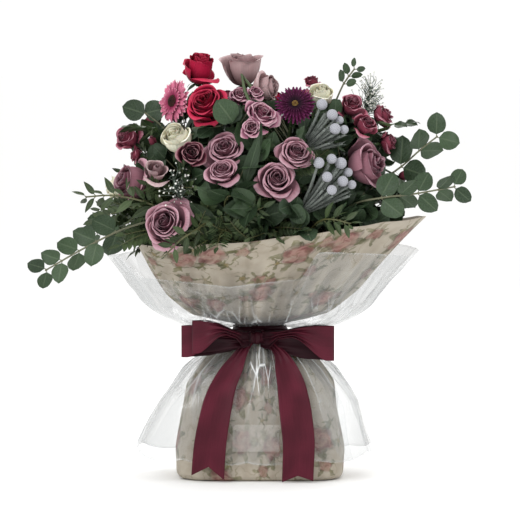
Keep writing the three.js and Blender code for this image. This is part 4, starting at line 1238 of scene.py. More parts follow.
def band_piece(materials):
    """The ribbon round the waist, crushed into soft ridges by the pull of the knot."""
    turn = np.linspace(-np.pi, np.pi, 181)[:, None]
    across = np.linspace(-1, 1, 17)[None, :]
    ridge = 0.9 * np.sin(7 * across + 1.2 * np.sin(2 * turn))
    ridge = ridge + 0.5 * np.sin(12 * across + 2 * np.cos(3 * turn))
    radius = BAND_RADIUS + ridge + 1.2 * (1 - across**2)
    z = WAIST_Z - 4 + 6 * across + 1.0 * np.sin(turn * 2 + 1)
    points = joined(radius * np.sin(turn), -radius * np.cos(turn), z)
    along = (turn + np.pi) / (2 * np.pi)
    # The whole band takes painted shade, 0.85 of the way to the near-black fold colour.
    return ribbon_piece("ribbon_band", points, along, across, BAND_LENGTH, BAND_WIDTH, materials, 0.85)


TWINE_RADIUS = 23.3
TWINE_Z = 161.2
TWINE_RISE = 4.6
TWINE_TURNS = 4
TWINE_STRAND = 0.45
TWINE_TWISTS = 14


def twine_piece(materials):
    """Rough twine of two strands, wound four times round the stems."""
    work = Gathering()
    for strand in range(2):
        turn = np.linspace(0, TWINE_TURNS * 2 * np.pi, 420)
        twist = turn * TWINE_TWISTS + strand * np.pi
        radius = TWINE_RADIUS + TWINE_STRAND * np.cos(twist)
        z = TWINE_Z + TWINE_RISE * turn / (TWINE_TURNS * 2 * np.pi) + TWINE_STRAND * np.sin(twist)
        line = np.stack([radius * np.cos(turn), radius * np.sin(turn), z], -1)
        tube(work, line, (0.55, 0.55), 0, 6)
    return settle(work.piece("binding_twine_cord", materials), "twine", "binding_twine")


LABEL_SIDES = (-30, 21)
LABEL_HEIGHTS = (33, 62)
LABEL_THICK = 0.4
LABEL_GAP = 0.7


def label_piece(film, materials):
    """A small frosted panel, blank, stuck on the front of the film: it follows the film's highest ridges,
    eased."""
    x = np.linspace(*LABEL_SIDES, 40)[None, :]
    z = np.linspace(*LABEL_HEIGHTS, 26)[:, None]
    front = film[film[..., 1] < -40]
    y = np.empty((z.size, x.size))
    for i, j in np.ndindex(y.shape):
        near = np.hypot(front[:, 0] - x[0, j], front[:, 2] - z[i, 0]) < 4
        y[i, j] = front[near][:, 1].min() if near.any() else -80
    for _ in range(12):
        soften(y)
        soften(y.T)
    work = Gathering()
    work.grid(joined(x, y - LABEL_GAP, z), (np.linspace(0, 1, z.size)[:, None], 0.5, 0.5, 0.5), 0)
    piece = settle(work.piece("frosted_label_panel", materials), "frosted_label", "frosted_label")
    thicken(piece, LABEL_THICK, -1)


def bag_grid(rows=70, columns=181):
    """The clear bag of water round the cut ends, tied at the waist."""
    rng = np.random.default_rng(5)
    radius, z, walk = along_outline([(2, 1.5), *BAG_OUTLINE], rows)
    turn = np.linspace(-np.pi, np.pi, columns)[None, :]
    fine = creases(turn[0], 30, 2, rng)[None, :]
    push = -smoothstep(z, 60, 150) * (1 - smoothstep(z, 148, 157)) * (1.5 + 1.5 * fine)
    points = wrap_points(radius + push, turn, z, BAG_DEPTH, 0)
    return points, joined(turn * BAG_LIE_RADIUS, walk), np.clip(0.5 + 0.5 * fine + 0 * z, 0, 1)


# ---- Finishes ----

# A noise without a vector is spread over the box of its piece, 60 to 450 mm a side, so its grain is that
# side over its Scale. A pattern on the "lie" vector is in metres, so its grain is 1000 mm over its Scale.


class Finish:
    """A material under construction: add() puts in a node, sets it, and links what it is given."""

    def __init__(self, name):
        self.material = bpy.data.materials.new(name)
        self.material.use_nodes = True
        self.tree = self.material.node_tree
        self.surface = self.tree.nodes["Principled BSDF"]

    def add(self, kind, *inputs, out=0, stops=(), **settings):
        """A node of a kind, which may be followed by its operation. A setting in lower case is the node's
        own; one with a capital is a socket by its name. The inputs go to the sockets in use, in their
        order, and out picks one of the outputs."""
        kind, *operation = kind.split()
        node = self.tree.nodes.new("ShaderNode" + kind)
        if operation:
            node.operation = operation[0]
        for name in [name for name in settings if name.islower()]:
            setattr(node, name, settings.pop(name))
        for socket, value in zip([socket for socket in node.inputs if socket.enabled], inputs):
            self.put(socket, value)
        self.fill(node, settings)
        for i, (place, colour) in enumerate(stops):
            stop = node.color_ramp.elements[i] if i < 2 else node.color_ramp.elements.new(place)
            stop.position, stop.color = place, linear(colour)
        return [socket for socket in node.outputs if socket.enabled][out]

    def put(self, socket, value):
        if isinstance(value, bpy.types.NodeSocket):
            self.tree.links.new(value, socket)
        else:
            socket.default_value = value

    def fill(self, node, values):
        for name, value in values.items():
            self.put(node.inputs[name.replace("_", " ")], value)

    def set(self, **values):
        """Set and link the surface's own sockets, which finishes the material."""
        self.fill(self.surface, values)
        return self.material

    def note(self):
        """Along, across, chance and outness, as the meshes keep them."""
        node = self.tree.nodes.new("ShaderNodeAttribute")
        node.attribute_name = "note"
        parts = self.add("SeparateColor", node.outputs["Color"]).node.outputs
        return parts[0], parts[1], parts[2], node.outputs["Alpha"]


def petal_finish(name, deep, heart, main, rim):
    """Soft skin: deep colour at the foot of each petal and over more of the inner ones, partly the petal's
    own and partly painted shade between petals; the heart's colour on the inner ones, its own tone on every
    petal, a paler rim, partly its own tint and partly a painted highlight, and fine veins running to the rim
    that break the light."""
    f = Finish(name)
    along, across, chance, out = f.note()
    # A petal has about 26 veins to a side, which run almost its whole length and differ between petals.
    spread = ((across, 26.0), (along, 2.2), (chance, 40.0))
    place = [f.add("Math MULTIPLY", part, times) for part, times in spread]
    veins = f.add("TexNoise", Vector=f.add("CombineXYZ", *place), Scale=1.0, Detail=3.0, Roughness=0.6)
    mottle = f.add("TexNoise", Scale=260.0, Detail=4.0)
    body = f.add(
        "Mix", f.add("MapRange", out, 0.25, 0.85, 0.0, 1.0), linear(heart), linear(main), data_type="RGBA"
    )
    # Deep colour at the feet and on the inner petals: partly the petal's own deeper base, partly painted
    # shade between petals.
    reach = f.add("Math ADD", along, f.add("Math MULTIPLY", out, 0.4))
    body = f.add(
        "Mix", f.add("MapRange", reach, 0.45, 1.06, 0.0, 1.0, interpolation_type="SMOOTHSTEP"), linear(deep),
        body, data_type="RGBA"
    )
    # A paler rim: partly the petal's own tint, partly a painted highlight where the rim rolls over.
    edge = f.add("Math ADD", along, f.add("Math MULTIPLY", veins, 0.12))
    body = f.add("Mix", f.add("MapRange", edge, 0.92, 1.05, 0.0, 0.9), body, linear(rim), data_type="RGBA")
    streak = f.add("MapRange", veins, 0.3, 0.7, 0.92, 1.06)
    shade = f.add("MapRange", chance, 0.0, 1.0, 0.86, 1.1)
    patch = f.add("MapRange", mottle, 0.3, 0.7, 0.93, 1.06)
    bright = f.add("Math MULTIPLY", f.add("Math MULTIPLY", streak, shade), patch)
    colour = f.add("HueSaturation", 0.5, 1.0, bright, 1.0, body)
    f.set(Sheen_Weight=0.04, Sheen_Roughness=0.4, Specular_IOR_Level=0.12)
    f.set(Subsurface_Weight=0.1, Subsurface_Radius=(0.004, 0.002, 0.002), Subsurface_Scale=1.0)
    return f.set(Base_Color=colour, Roughness=0.6, Normal=f.add("Bump", 0.12, 0.0003, Height=veins))


def leaf_finish(name, dark, light, vein, rough, bloom=None):
    """Waxy leaf: a pale midrib with side veins that lift the surface, cloudy greens that are lighter on
    some leaves, and on eucalyptus a blue-grey bloom in patches."""
    f = Finish(name)
    along, across, chance, _ = f.note()
    rib = f.add("MapRange", across, 0.02, 0.11, 1.0, 0.0, interpolation_type="SMOOTHSTEP")
    sweep = f.add("Math SUBTRACT", f.add("Math MULTIPLY", along, 6.0), f.add("Math MULTIPLY", across, 2.6))
    side = f.add("Math SUBTRACT", f.add("Math FRACT", sweep), 0.5)
    side = f.add("MapRange", f.add("Math ABSOLUTE", side), 0.0, 0.09, 0.45, 0.0)
    veins = f.add("Math MAXIMUM", rib, side)
    cloud = f.add("TexNoise", Scale=95.0, Detail=5.0, Roughness=0.6)
    fine = f.add("TexNoise", Scale=1400.0, Detail=2.0)
    tone = f.add("Math ADD", f.add("Math MULTIPLY", cloud, 0.55), f.add("Math MULTIPLY", chance, 0.55))
    colour = f.add("ValToRGB", tone, stops=[(0.15, dark), (0.85, light)])
    colour = f.add("Mix", f.add("Math MULTIPLY", veins, 0.35), colour, linear(vein), data_type="RGBA")
    if bloom:
        frost = f.add(
            "MapRange", f.add("TexNoise", Scale=160.0, Detail=6.0, Roughness=0.7), 0.38, 0.68, 0.0, 0.32
        )
        colour = f.add("Mix", frost, colour, linear(bloom), data_type="RGBA")
    height = f.add("Math ADD", veins, f.add("Math MULTIPLY", fine, 0.25))
    bump = f.add("Bump", 0.35, 0.0004, Height=height)
    gloss = f.add("MapRange", cloud, 0.3, 0.7, rough - 0.08, rough + 0.12)
    f.set(Specular_IOR_Level=0.22, Subsurface_Weight=0.05, Subsurface_Radius=(0.001, 0.002, 0.0005))
    return f.set(Base_Color=colour, Roughness=gloss, Normal=bump)


def stem_finish(name, dark, light):
    """Green stem, streaked along its length and dull."""
    f = Finish(name)
    streak = f.add("TexNoise", Scale=420.0, Detail=4.0)
    colour = f.add("ValToRGB", streak, stops=[(0.3, dark), (0.75, light)])
    bump = f.add("Bump", 0.3, 0.0003, Height=streak)
    return f.set(Base_Color=colour, Roughness=0.5, Normal=bump)


def down_finish(name, dark, light):
    """Felted down, or any fuzz: fine fibres in two tones, paler at tips and knobs, with a soft sheen."""
    f = Finish(name)
    along, *_ = f.note()
    fibre = f.add("TexNoise", Scale=1800.0, Detail=4.0, Roughness=0.7)
    tone = f.add("Math ADD", f.add("Math MULTIPLY", along, 0.6), f.add("Math MULTIPLY", fibre, 0.5))
    colour = f.add("ValToRGB", tone, stops=[(0.2, dark), (0.85, light)])
    bump = f.add("Bump", 0.5, 0.0004, Height=fibre)
    f.set(Sheen_Weight=0.12, Sheen_Roughness=0.5, Specular_IOR_Level=0.2)
    return f.set(Base_Color=colour, Roughness=0.9, Normal=bump)


def satin_finish(colour, bright):
    """Woven satin: floats run across the strip, so the gloss stretches along it, with a corded selvedge. Its
    colour carries painted light: the shaded and the lit satin colour mixed by its slub, painted sheen in
    broad bands, and painted shade deep in its folds and where it turns away."""
    f = Finish("polyester satin, woven")
    _, across, fold, _ = f.note()
    lie = f.add("UVMap", uv_map="lie")
    drawn = f.add("Tangent", direction_type="UV_MAP", uv_map="lie")
    # Real threads are about a tenth of a millimetre wide; a band of 1.2 mm is as fine as shows here.
    threads = f.add("TexWave", Vector=lie, Scale=260.0, Distortion=0.6, Detail=1.0, bands_direction="Y")
    slub = f.add(
        "TexNoise", Vector=f.add("VectorMath MULTIPLY", lie, (40.0, 900.0, 1.0)), Scale=1.0, Detail=3.0
    )
    selvedge = f.add("MapRange", across, 0.93, 0.965, 0.0, 1.0)
    tone = f.add("Math ADD", f.add("Math MULTIPLY", slub, 0.7), f.add("Math MULTIPLY", threads, 0.2))
    # Painted sheen and shade: the satin's shaded colour and its lit colour, mixed by slub and thread noise.
    dye_and_painted_light = f.add("ValToRGB", tone, stops=[(0.25, colour), (0.75, bright)])
    # Painted sheen: broad bands along the strip, some lighter and some darker.
    painted_sheen_bands = f.add(
        "TexNoise", Vector=f.add("VectorMath MULTIPLY", lie, (22.0, 30.0, 1.0)), Scale=1.0, Detail=1.0
    )
    dye_and_painted_light = f.add("HueSaturation", 0.5, 1.0, f.add("MapRange", painted_sheen_bands, 0.32, 0.68, 0.72, 1.35), 1.0, dye_and_painted_light)
    # Painted shade: the colour darkens where the surface turns away from view.
    turned = f.add("LayerWeight", 0.45, out=1)
    dye_and_painted_light = f.add(
        "Mix", f.add("MapRange", turned, 0.15, 0.9, 0.0, 0.6), dye_and_painted_light, linear("#2a0a12"), data_type="RGBA"
    )
    # Painted shade, near black, by the fold note: deep in folds, on the loops' inner faces, on the knot and
    # band.
    dye_and_painted_light = f.add("Mix", f.add("Math MULTIPLY", fold, 0.88), dye_and_painted_light, linear("#1c050c"), data_type="RGBA")
    height = f.add("Math ADD", f.add("Math MULTIPLY", threads, 0.5), selvedge)
    gloss = f.add("MapRange", slub, 0.3, 0.7, 0.38, 0.48)
    f.set(Anisotropic=0.6, Tangent=drawn, Sheen_Weight=0.03, Sheen_Roughness=0.35, Specular_IOR_Level=0.14)
    return f.set(Base_Color=dye_and_painted_light, Roughness=gloss, Normal=f.add("Bump", 0.12, 0.0002, Height=height))


def film_finish(name, veil, streak):
    """Clear film, crushed into long flat facets that run out from the waist: each facet veils what lies
    behind it a little differently, creases and cut edges carry painted glints as near-white lines, and the
    film is milky where it folds or is seen from its side."""
    f = Finish(name)
    along, _, ridge, _ = f.note()
    lie = f.add("UVMap", uv_map="lie")
    creases, facets = [], []
    for stretch, wide in (((34.0, 5.0, 1.0), 0.045), ((80.0, 17.0, 1.0), 0.06)):
        place = f.add("VectorMath MULTIPLY", lie, stretch)
        colour = f.add("TexVoronoi", Vector=place, Scale=1.0, out=1)
        facets.append(f.add("SeparateColor", colour))
        web = f.add("TexVoronoi", Vector=place, Scale=1.0, feature="DISTANCE_TO_EDGE")
        creases.append(f.add("MapRange", web, 0.0, wide, 1.0, 0.0))
    # Creases gather at the waist and run out of it, drawn as painted glints; a few crossing ones get painted
    # glints too, in patches and in a spot between the tails.
    from_waist = f.add("Math ABSOLUTE", f.add("Math SUBTRACT", along, 0.49))
    tight = f.add("MapRange", from_waist, 0.1, 0.4, 1.0, 0.0)
    painted_glint_spot = f.add("VectorMath MULTIPLY", f.add("VectorMath ADD", lie, (0.0, -0.093, 0.0)), (1.5, 1.0, 0.0))
    painted_glint_spot = f.add("MapRange", f.add("VectorMath LENGTH", painted_glint_spot), 0.026, 0.036, 1.0, 0.0)
    cloud = f.add("TexNoise", Vector=lie, Scale=16.0, Detail=2.0)
    few = f.add("Math MULTIPLY", f.add("MapRange", cloud, 0.5, 0.56, 0.0, 1.0), tight)
    few = f.add("Math MAXIMUM", few, painted_glint_spot)
    crease = f.add("Math MULTIPLY", creases[1], few)
    crease = f.add(
        "Math MAXIMUM", crease, f.add("Math MULTIPLY", f.add("Math MULTIPLY", creases[0], tight), 0.85)
    )
    # Painted highlight: a bright line along each cut edge of the film.
    cut = f.add(
        "Math MAXIMUM", f.add("MapRange", along, 0.99, 1.0, 0.0, 0.3),
        f.add("MapRange", along, 0.01, 0.0, 0.0, 0.3)
    )
    line = f.add("Math MAXIMUM", crease, cut)
    fold = f.add("Math MULTIPLY", f.add("MapRange", ridge, 0.7, 1.0, 0.0, 0.2), tight)
    facet = f.add("Math ADD", f.add("Math MULTIPLY", facets[0], 0.7), f.add("Math MULTIPLY", facets[1], 0.3))
    sheer = f.add("Math MULTIPLY", f.add("MapRange", facet, 0.15, 0.85, 0.6, 1.5), veil)
    # The skirt stands off the paper at its two sides, 149 mm along it from the middle of the front, and
    # veils more there.
    round_ = f.add("Math ABSOLUTE", f.add("SeparateXYZ", lie))
    beside = f.add(
        "MapRange", f.add("Math ABSOLUTE", f.add("Math SUBTRACT", round_, 0.149)), 0.02, 0.09, 1.0, 0.0
    )
    more = f.add("Math MULTIPLY", f.add("MapRange", along, 0.3, 0.42, 0.9, 0.0), beside)
    sheer = f.add("Math MULTIPLY", sheer, f.add("Math ADD", more, 0.9))
    turned = f.add("MapRange", f.add("LayerWeight", 0.5, out=1), 0.3, 0.95, 0.0, 0.26)
    sheer = f.add("Math ADD", sheer, turned)
    # The painted glint lines also raise the alpha, so they show bright over what lies behind.
    alpha = f.add("Math ADD", f.add("Math ADD", sheer, fold), f.add("Math MULTIPLY", line, streak))
    height = f.add("Math ADD", line, facet)
    # Painted glints: along the crease and edge lines the film's grey tint turns near white.
    grey_tint_and_painted_glints = f.add(
        "Mix", line, f.add("ValToRGB", facet, stops=[(0.2, "#8a8f91"), (0.8, "#a4a9ab")]), linear("#f8fafa"),
        data_type="RGBA"
    )
    f.set(Specular_IOR_Level=0.5, Coat_Weight=0.3, Coat_Roughness=0.06)
    return f.set(Base_Color=grey_tint_and_painted_glints, Roughness=0.1, Alpha=alpha, Normal=f.add("Bump", 0.2, 0.001, Height=height))


def plain_paper_finish():
    """The unprinted inside of the paper: ivory, with the tooth of its fibres, drawn coarser than it is."""
    f = Finish("ivory paper, unprinted side")
    fibre = f.add("TexNoise", Scale=900.0, Detail=5.0)
    cloud = f.add("TexNoise", Scale=30.0, Detail=2.0)
    tone = f.add("Math ADD", f.add("Math MULTIPLY", fibre, 0.3), f.add("Math MULTIPLY", cloud, 0.7))
    colour = f.add("ValToRGB", tone, stops=[(0.3, "#958b7e"), (0.7, "#ada395")])
    return f.set(
        Base_Color=colour, Roughness=0.8, Specular_IOR_Level=0.2,
        Normal=f.add("Bump", 0.2, 0.0002, Height=fibre)
    )


# The printed motifs: cell in metres, shift, share of cells left empty, radius and reach of leaves as shares
# of the cell, and the shades of the petals from dark to pale.
MOTIFS = [
    (0.024, 7.3, 0.55, 0.13, 0.3, ("#5e4a2c", "#7c6a42", "#9c8c62")),
    (0.037, 3.1, 0.4, 0.19, 0.3, ("#5c3836", "#845a56", "#ac8a80")),
    (0.058, 0.0, 0.15, 0.24, 0.27, ("#5e3034", "#8a5254", "#b58e86")),
]


def printed_paper_finish():
    """Ivory paper printed with washed-out roses, their leaves, small ochre sprays and thin tendrils. One
    full rose to about 58 mm of paper, smaller flowers between them, each drawn round with a dark line."""
    f = Finish("ivory paper, printed with roses")
    lie = f.add("UVMap", uv_map="lie")
    wash = f.add("TexNoise", Vector=lie, Scale=70.0, Detail=4.0)
    wobble = f.add(
        "VectorMath MULTIPLY", f.add("TexNoise", Vector=lie, Scale=150.0, Detail=5.0, out=1),
        (0.009, 0.009, 0.0)
    )
    fade = f.add("MapRange", f.add("TexNoise", Vector=lie, Scale=110.0, Detail=5.0), 0.34, 0.56, 0.5, 1.0)
    # Paper fibres are finer than this grain of two thirds of a millimetre, which is as fine as shows.
    fibre = f.add("TexNoise", Vector=lie, Scale=1500.0, Detail=4.0)
    lie = f.add("VectorMath ADD", lie, wobble)
    colour = f.add("ValToRGB", wash, stops=[(0.3, "#a29888"), (0.7, "#b5ac9d")])
    tendril = f.add("TexNoise", Vector=lie, Scale=34.0, Detail=1.0)
    thread = f.add("Math ABSOLUTE", f.add("Math SUBTRACT", tendril, 0.5))
    colour = f.add(
        "Mix", f.add("MapRange", thread, 0.0, 0.01, 0.6, 0.0), colour, linear("#6f6848"), data_type="RGBA"
    )
    for size, shift, empty, round_, leafy, shades in MOTIFS:
        moved = f.add("VectorMath ADD", lie, (shift, shift * 0.7, 0.0))
        cells = f.add(
            "TexVoronoi", Vector=moved, Scale=1 / size, Randomness=0.7, voronoi_dimensions="2D"
        ).node
        away = f.add("VectorMath SUBTRACT", moved, cells.outputs["Position"])
        away = f.add("VectorMath MULTIPLY", away, (1 / size, 1 / size, 0.0))
        axes = f.add("SeparateXYZ", away).node.outputs
        radius = f.add("VectorMath LENGTH", away)
        pick = f.add("SeparateColor", cells.outputs["Color"]).node.outputs
        spin = f.add("Math MULTIPLY", pick[0], 6.28)
        angle = f.add("Math ADD", f.add("Math ARCTAN2", axes[1], axes[0]), spin)
        shown = f.add("Math MULTIPLY", f.add("Math GREATER_THAN", pick[1], empty), fade)
        # Leaves: pointed lobes round the flower.
        lobes = f.add("Math ABSOLUTE", f.add("Math SINE", f.add("Math MULTIPLY", angle, 2.5)))
        tip = f.add("Math MULTIPLY", f.add("Math POWER", lobes, 5.0), leafy)
        leaves = f.add("Math SUBTRACT", f.add("Math ADD", tip, round_ * 0.8), radius)
        green = f.add("ValToRGB", wash, stops=[(0.35, "#444629"), (0.65, "#77744e")])
        colour = f.add(
            "Mix", f.add("Math MULTIPLY", f.add("MapRange", leaves, 0.0, 0.05, 0.0, 0.75), shown), colour,
            green, data_type="RGBA"
        )
        # Petals: scalloped rings that turn a little from ring to ring, drawn round with a dark line.
        swirl = f.add("Math ADD", f.add("Math MULTIPLY", angle, 3.0), f.add("Math MULTIPLY", radius, 45.0))
        rings = f.add("Math ADD", f.add("Math MULTIPLY", radius, 20.0), f.add("Math SINE", swirl))
        rings = f.add("Math ADD", f.add("Math MULTIPLY", f.add("Math SINE", rings), 0.25), 0.3)
        tone = f.add("Math ADD", rings, f.add("Math MULTIPLY", wash, 0.5))
        pinks = f.add("ValToRGB", tone, stops=[(0.2, shades[0]), (0.5, shades[1]), (0.95, shades[2])])
        scallop = f.add("Math MULTIPLY", f.add("Math SINE", f.add("Math MULTIPLY", angle, 5.0)), 0.1 * round_)
        bloom = f.add("Math SUBTRACT", f.add("Math ADD", scallop, round_), radius)
        colour = f.add(
            "Mix", f.add("Math MULTIPLY", f.add("MapRange", bloom, 0.0, 0.05, 0.0, 0.75), shown), colour,
            pinks, data_type="RGBA"
        )
        drawn = f.add("MapRange", f.add("Math ABSOLUTE", bloom), 0.0, 0.025, 0.45, 0.0)
        colour = f.add(
            "Mix", f.add("Math MULTIPLY", drawn, shown), colour, linear("#3c2a26"), data_type="RGBA"
        )
    # Drawn in at the waist, the paper takes painted shade in its colour: darker near the waist and in the
    # hollows between its folds.
    along, _, ridge, _ = f.note()
    from_waist = f.add("Math ABSOLUTE", f.add("Math SUBTRACT", along, 0.612))
    shade = f.add("MapRange", from_waist, 0.0, 0.19, 0.62, 0.0, interpolation_type="SMOOTHSTEP")
    shade = f.add("Math ADD", shade, f.add("MapRange", ridge, 0.25, 0.6, 0.45, 0.0))
    colour = f.add("Mix", shade, colour, linear("#38322c"), data_type="RGBA")
    return f.set(
        Base_Color=colour, Roughness=0.65, Specular_IOR_Level=0.25,
        Normal=f.add("Bump", 0.15, 0.0002, Height=fibre)
    )


# ---- Settings ----


def colour_setting(name, description, hex_colour):
    shade = linear(hex_colour)[:3]
    return FloatVectorProperty(
        name=name, description=description, subtype="COLOR", size=3, min=0, max=1, default=shade
    )


def share_setting(name, description, share):
    return FloatProperty(name=name, description=description, subtype="FACTOR", min=0, max=1, default=share)


class BouquetFlowers(bpy.types.PropertyGroup):
    """Colours of the petals, and how full the bunch is."""

    lilac: colour_setting("Lilac roses", "Colour of the dusty lilac garden roses", "#9d6f7b")
    blush: colour_setting("Blush roses", "Colour of the paler roses at the top", "#b99c9d")
    cerise: colour_setting("Cerise roses", "Colour of the cerise roses", "#a5143a")
    cream: colour_setting("Cream roses", "Colour of the cream roses", "#e6e3cd")
    mauve: colour_setting("Mauve spray roses", "Colour of the mauve spray roses", "#a1697e")
    raspberry: colour_setting("Raspberry spray roses", "Colour of the raspberry spray roses", "#8c4052")
    plum: colour_setting("Plum spray roses", "Colour of the darkest spray roses", "#6c3040")
    pale: colour_setting("Lisianthus", "Colour of the pale lisianthus", "#b69a9c")
    gerbera: colour_setting("Gerbera", "Colour of the pink gerbera", "#c46e88")
    aster: colour_setting("Aster", "Colour of the purple aster", "#4c1036")
    filling: IntProperty(
        name="Filling",
        description="Number of places between the heads that foliage may fill",
        default=440,
        min=0,
        max=800,
    )


class BouquetWrapping(bpy.types.PropertyGroup):
    """The ribbon's colour and the film's clearness."""

    # The satin's shaded and lit colours, mixed by its slub as painted sheen.
    satin: colour_setting("Ribbon", "Colour of the satin in its shadows", "#42111e")
    satin_light: colour_setting("Ribbon, lit", "Colour of the satin where the light catches it", "#541a29")
    veil: share_setting("Film veil", "How milky the clear film is, face on", 0.2)
    # The glints are painted highlights along the film's creases and cut edges.
    glints: share_setting("Film glints", "How strongly the creases of the film show", 0.6)


# ---- Operators ----

# Beside each petal colour that is a setting: deep colour (partly painted shade), heart colour, rim colour
# (partly painted highlight), and the slot.
PETAL_TONES = {
    "lilac": ("#3c1e29", "#764654", "#bf9aa5", "lilac_petal"),
    "blush": ("#7c585a", "#a08083", "#c4acac", "lilac_petal"),
    "cerise": ("#440512", "#8c0e2a", "#c43c58", "cerise_petal"),
    "cream": ("#c4bf9c", "#dcd8bc", "#f2f0e4", "cream_petal"),
    "mauve": ("#3e1826", "#82465a", "#ccaab2", "mauve_petal"),
    "raspberry": ("#2c0a16", "#682a3a", "#b88290", "mauve_petal"),
    "plum": ("#240a14", "#552232", "#a98388", "mauve_petal"),
    "pale": ("#7c5a5e", "#a08286", "#c8b0b0", "pale_petal"),
    "gerbera": ("#8a3050", "#b05874", "#dc9cae", "pink_petal"),
    "aster": ("#1c0416", "#380a28", "#6c2858", "plum_petal"),
}


def petals_of(kind):
    """The petal finish of a kind of flower, in the colour that is set for it."""
    deep, heart, rim, _ = PETAL_TONES[kind]
    main = getattr(bpy.context.scene.bouquet_flowers, kind)
    return once(kind + " petal, soft skin", petal_finish, deep, heart, main, rim)


def once(name, make, *settings):
    """A finish by its name, made the first time that it is asked for."""
    return bpy.data.materials.get(name) or make(name, *settings)


def flower_finishes(kind):
    """The finishes of a cut flower, in the order of flower_piece's places."""
    stem = once("rose stem, green bark", stem_finish, "#2f3e22", "#596a42")
    leaves = once("rose leaf, waxy", leaf_finish, "#1a2618", "#3a4c2e", "#66774f", 0.42)
    eye = ("daisy eye, dark florets", "#140807", "#4a2a20")
    if kind == "aster":
        eye = ("daisy eye, gold pollen", "#4c2a10", "#a8843a")
    return [petals_of(kind), stem, leaves, once(eye[0], down_finish, *eye[1:])]


def make_flowers(group):
    for name, (kind, heads) in group.items():
        flower_piece(name, kind, heads, PETAL_TONES[kind][3], flower_finishes(kind))


class BOUQUET_OT_roses(bpy.types.Operator):
    """Build the garden roses and the lisianthus"""

    bl_idname = "bouquet.roses"
    bl_label = "Roses"

    def execute(self, context):
        make_flowers(ROSES)
        return {"FINISHED"}


class BOUQUET_OT_spray_roses(bpy.types.Operator):
    """Build the spray roses, several heads to a stem"""

    bl_idname = "bouquet.spray_roses"
    bl_label = "Spray roses"

    def execute(self, context):
        make_flowers(SPRAYS)
        return {"FINISHED"}


class BOUQUET_OT_daisies(bpy.types.Operator):
    """Build the gerbera and the aster"""

    bl_idname = "bouquet.daisies"
    bl_label = "Gerbera and aster"

    def execute(self, context):
        make_flowers(DAISIES)
        return {"FINISHED"}


class BOUQUET_OT_brunia(bpy.types.Operator):
    """Build the silver brunia"""

    bl_idname = "bouquet.brunia"
    bl_label = "Silver brunia"

    def execute(self, context):
        balls = once("brunia ball, felted", down_finish, "#74757c", "#b0b1b8")
        twigs = once("brunia twig, downy", down_finish, "#3f453f", "#7b817c")
        for name in BRUNIAS:
            brunia_piece(name, [balls, twigs])
        return {"FINISHED"}


class BOUQUET_OT_foliage(bpy.types.Operator):
    """Build the foliage, and fill the room between the heads with it"""

    bl_idname = "bouquet.foliage"
    bl_label = "Foliage"

    def execute(self, context):
        finishes = {"stem": 0, "leaf": 1}
        works, lines = {}, {}
        for name, (bends, leaves) in BRANCHES.items():
            rng = seeded(name)
            beyond = [("branch", *point, 0, 0, 34) for point in smooth_line(bends, 12)]
            line = smooth_line([*stem_line(name, beyond), *bends], 44)
            work = Gathering()
            tube(work, line, (2.2, 0.9), finishes["stem"])
            branch_leaves(work, name, bends, leaves, rng, finishes)
            if name in HAZES:
                blossoms(work, name, line, rng, finishes)
            if name in FREE_LEAVES:
                free_leaves(work, name, rng, finishes)
            works[name], lines[name] = work, line
        fill_between(works, lines, finishes, context.scene.bouquet_flowers.filling)
        for name, work in works.items():
            kind = plant_of(name)
            piece = work.piece(name + "_branch", leaf_materials(kind))
            settle(piece, LEAF_SLOTS.get(kind, "green_leaf"), name)
        return {"FINISHED"}


# Dark and light stem colours of each plant; then its leaves' dark, light and vein colours, roughness and
# bloom.
STEM_TONES = {
    "eucalyptus": ("#4b4a38", "#76785a"),
    "salal": ("#3c3a22", "#5f6438"),
    "pistacia": ("#3c3a22", "#5f6438"),
    "gypsophila": ("#46524a", "#6c7a6c"),
}
LEAF_TONES = {
    "eucalyptus": ("#1c2a1a", "#394c31", "#66745a", 0.42, "#586a5a"),
    "salal": ("#1a2619", "#3a4c34", "#5f7058", 0.34),
    "pistacia": ("#1e2a18", "#475638", "#6e7a56", 0.4),
    "gypsophila": ("#cfd2c8", "#f2f2ec", "#dfe3d4", 0.7),
}
LEAF_SLOTS = {"eucalyptus": "eucalyptus_leaf", "gypsophila": "white_blossom"}


def leaf_materials(kind):
    """Stem and leaf finishes of a kind of foliage."""
    stem = once(kind + " stem", stem_finish, *STEM_TONES[kind])
    return [stem, once(kind + " leaf", leaf_finish, *LEAF_TONES[kind])]


class BOUQUET_OT_wrapping(bpy.types.Operator):
    """Build the printed paper, the clear film, the water bag, the twine and the label"""

    bl_idname = "bouquet.wrapping"
    bl_label = "Wrapping"

    def execute(self, context):
        settings = context.scene.bouquet_wrapping
        paper = [printed_paper_finish(), plain_paper_finish()]
        sheet_piece("wrapping_paper", paper_grid(), paper, "printed_paper", 0.5)
        film = film_grid()
        clear_film = film_finish("clear film, crinkled", settings.veil, settings.glints)
        sheet_piece("clear_film_wrap", film, [clear_film], "clear_film")
        bag_film = film_finish("clear bag, soft film", 0.25, 0.3)
        sheet_piece("water_bag", bag_grid(), [bag_film], "clear_bag")
        twine_piece([once("twine, twisted jute", down_finish, "#7c6238", "#c9ad78")])
        label_piece(film[0], [label_finish()])
        return {"FINISHED"}


def label_finish():
    """Frosted film: milky, with a fine grain that scatters the light."""
    f = Finish("frosted label, milky film")
    grain = f.add("TexNoise", Scale=900.0, Detail=4.0)
    cloud = f.add("TexNoise", Scale=40.0, Detail=2.0)
    colour = f.add("ValToRGB", cloud, stops=[(0.3, "#ccc8c2"), (0.7, "#dcd9d4")])
    return f.set(
        Base_Color=colour, Roughness=0.45, Alpha=0.14, Normal=f.add("Bump", 0.15, 0.0002, Height=grain)
    )


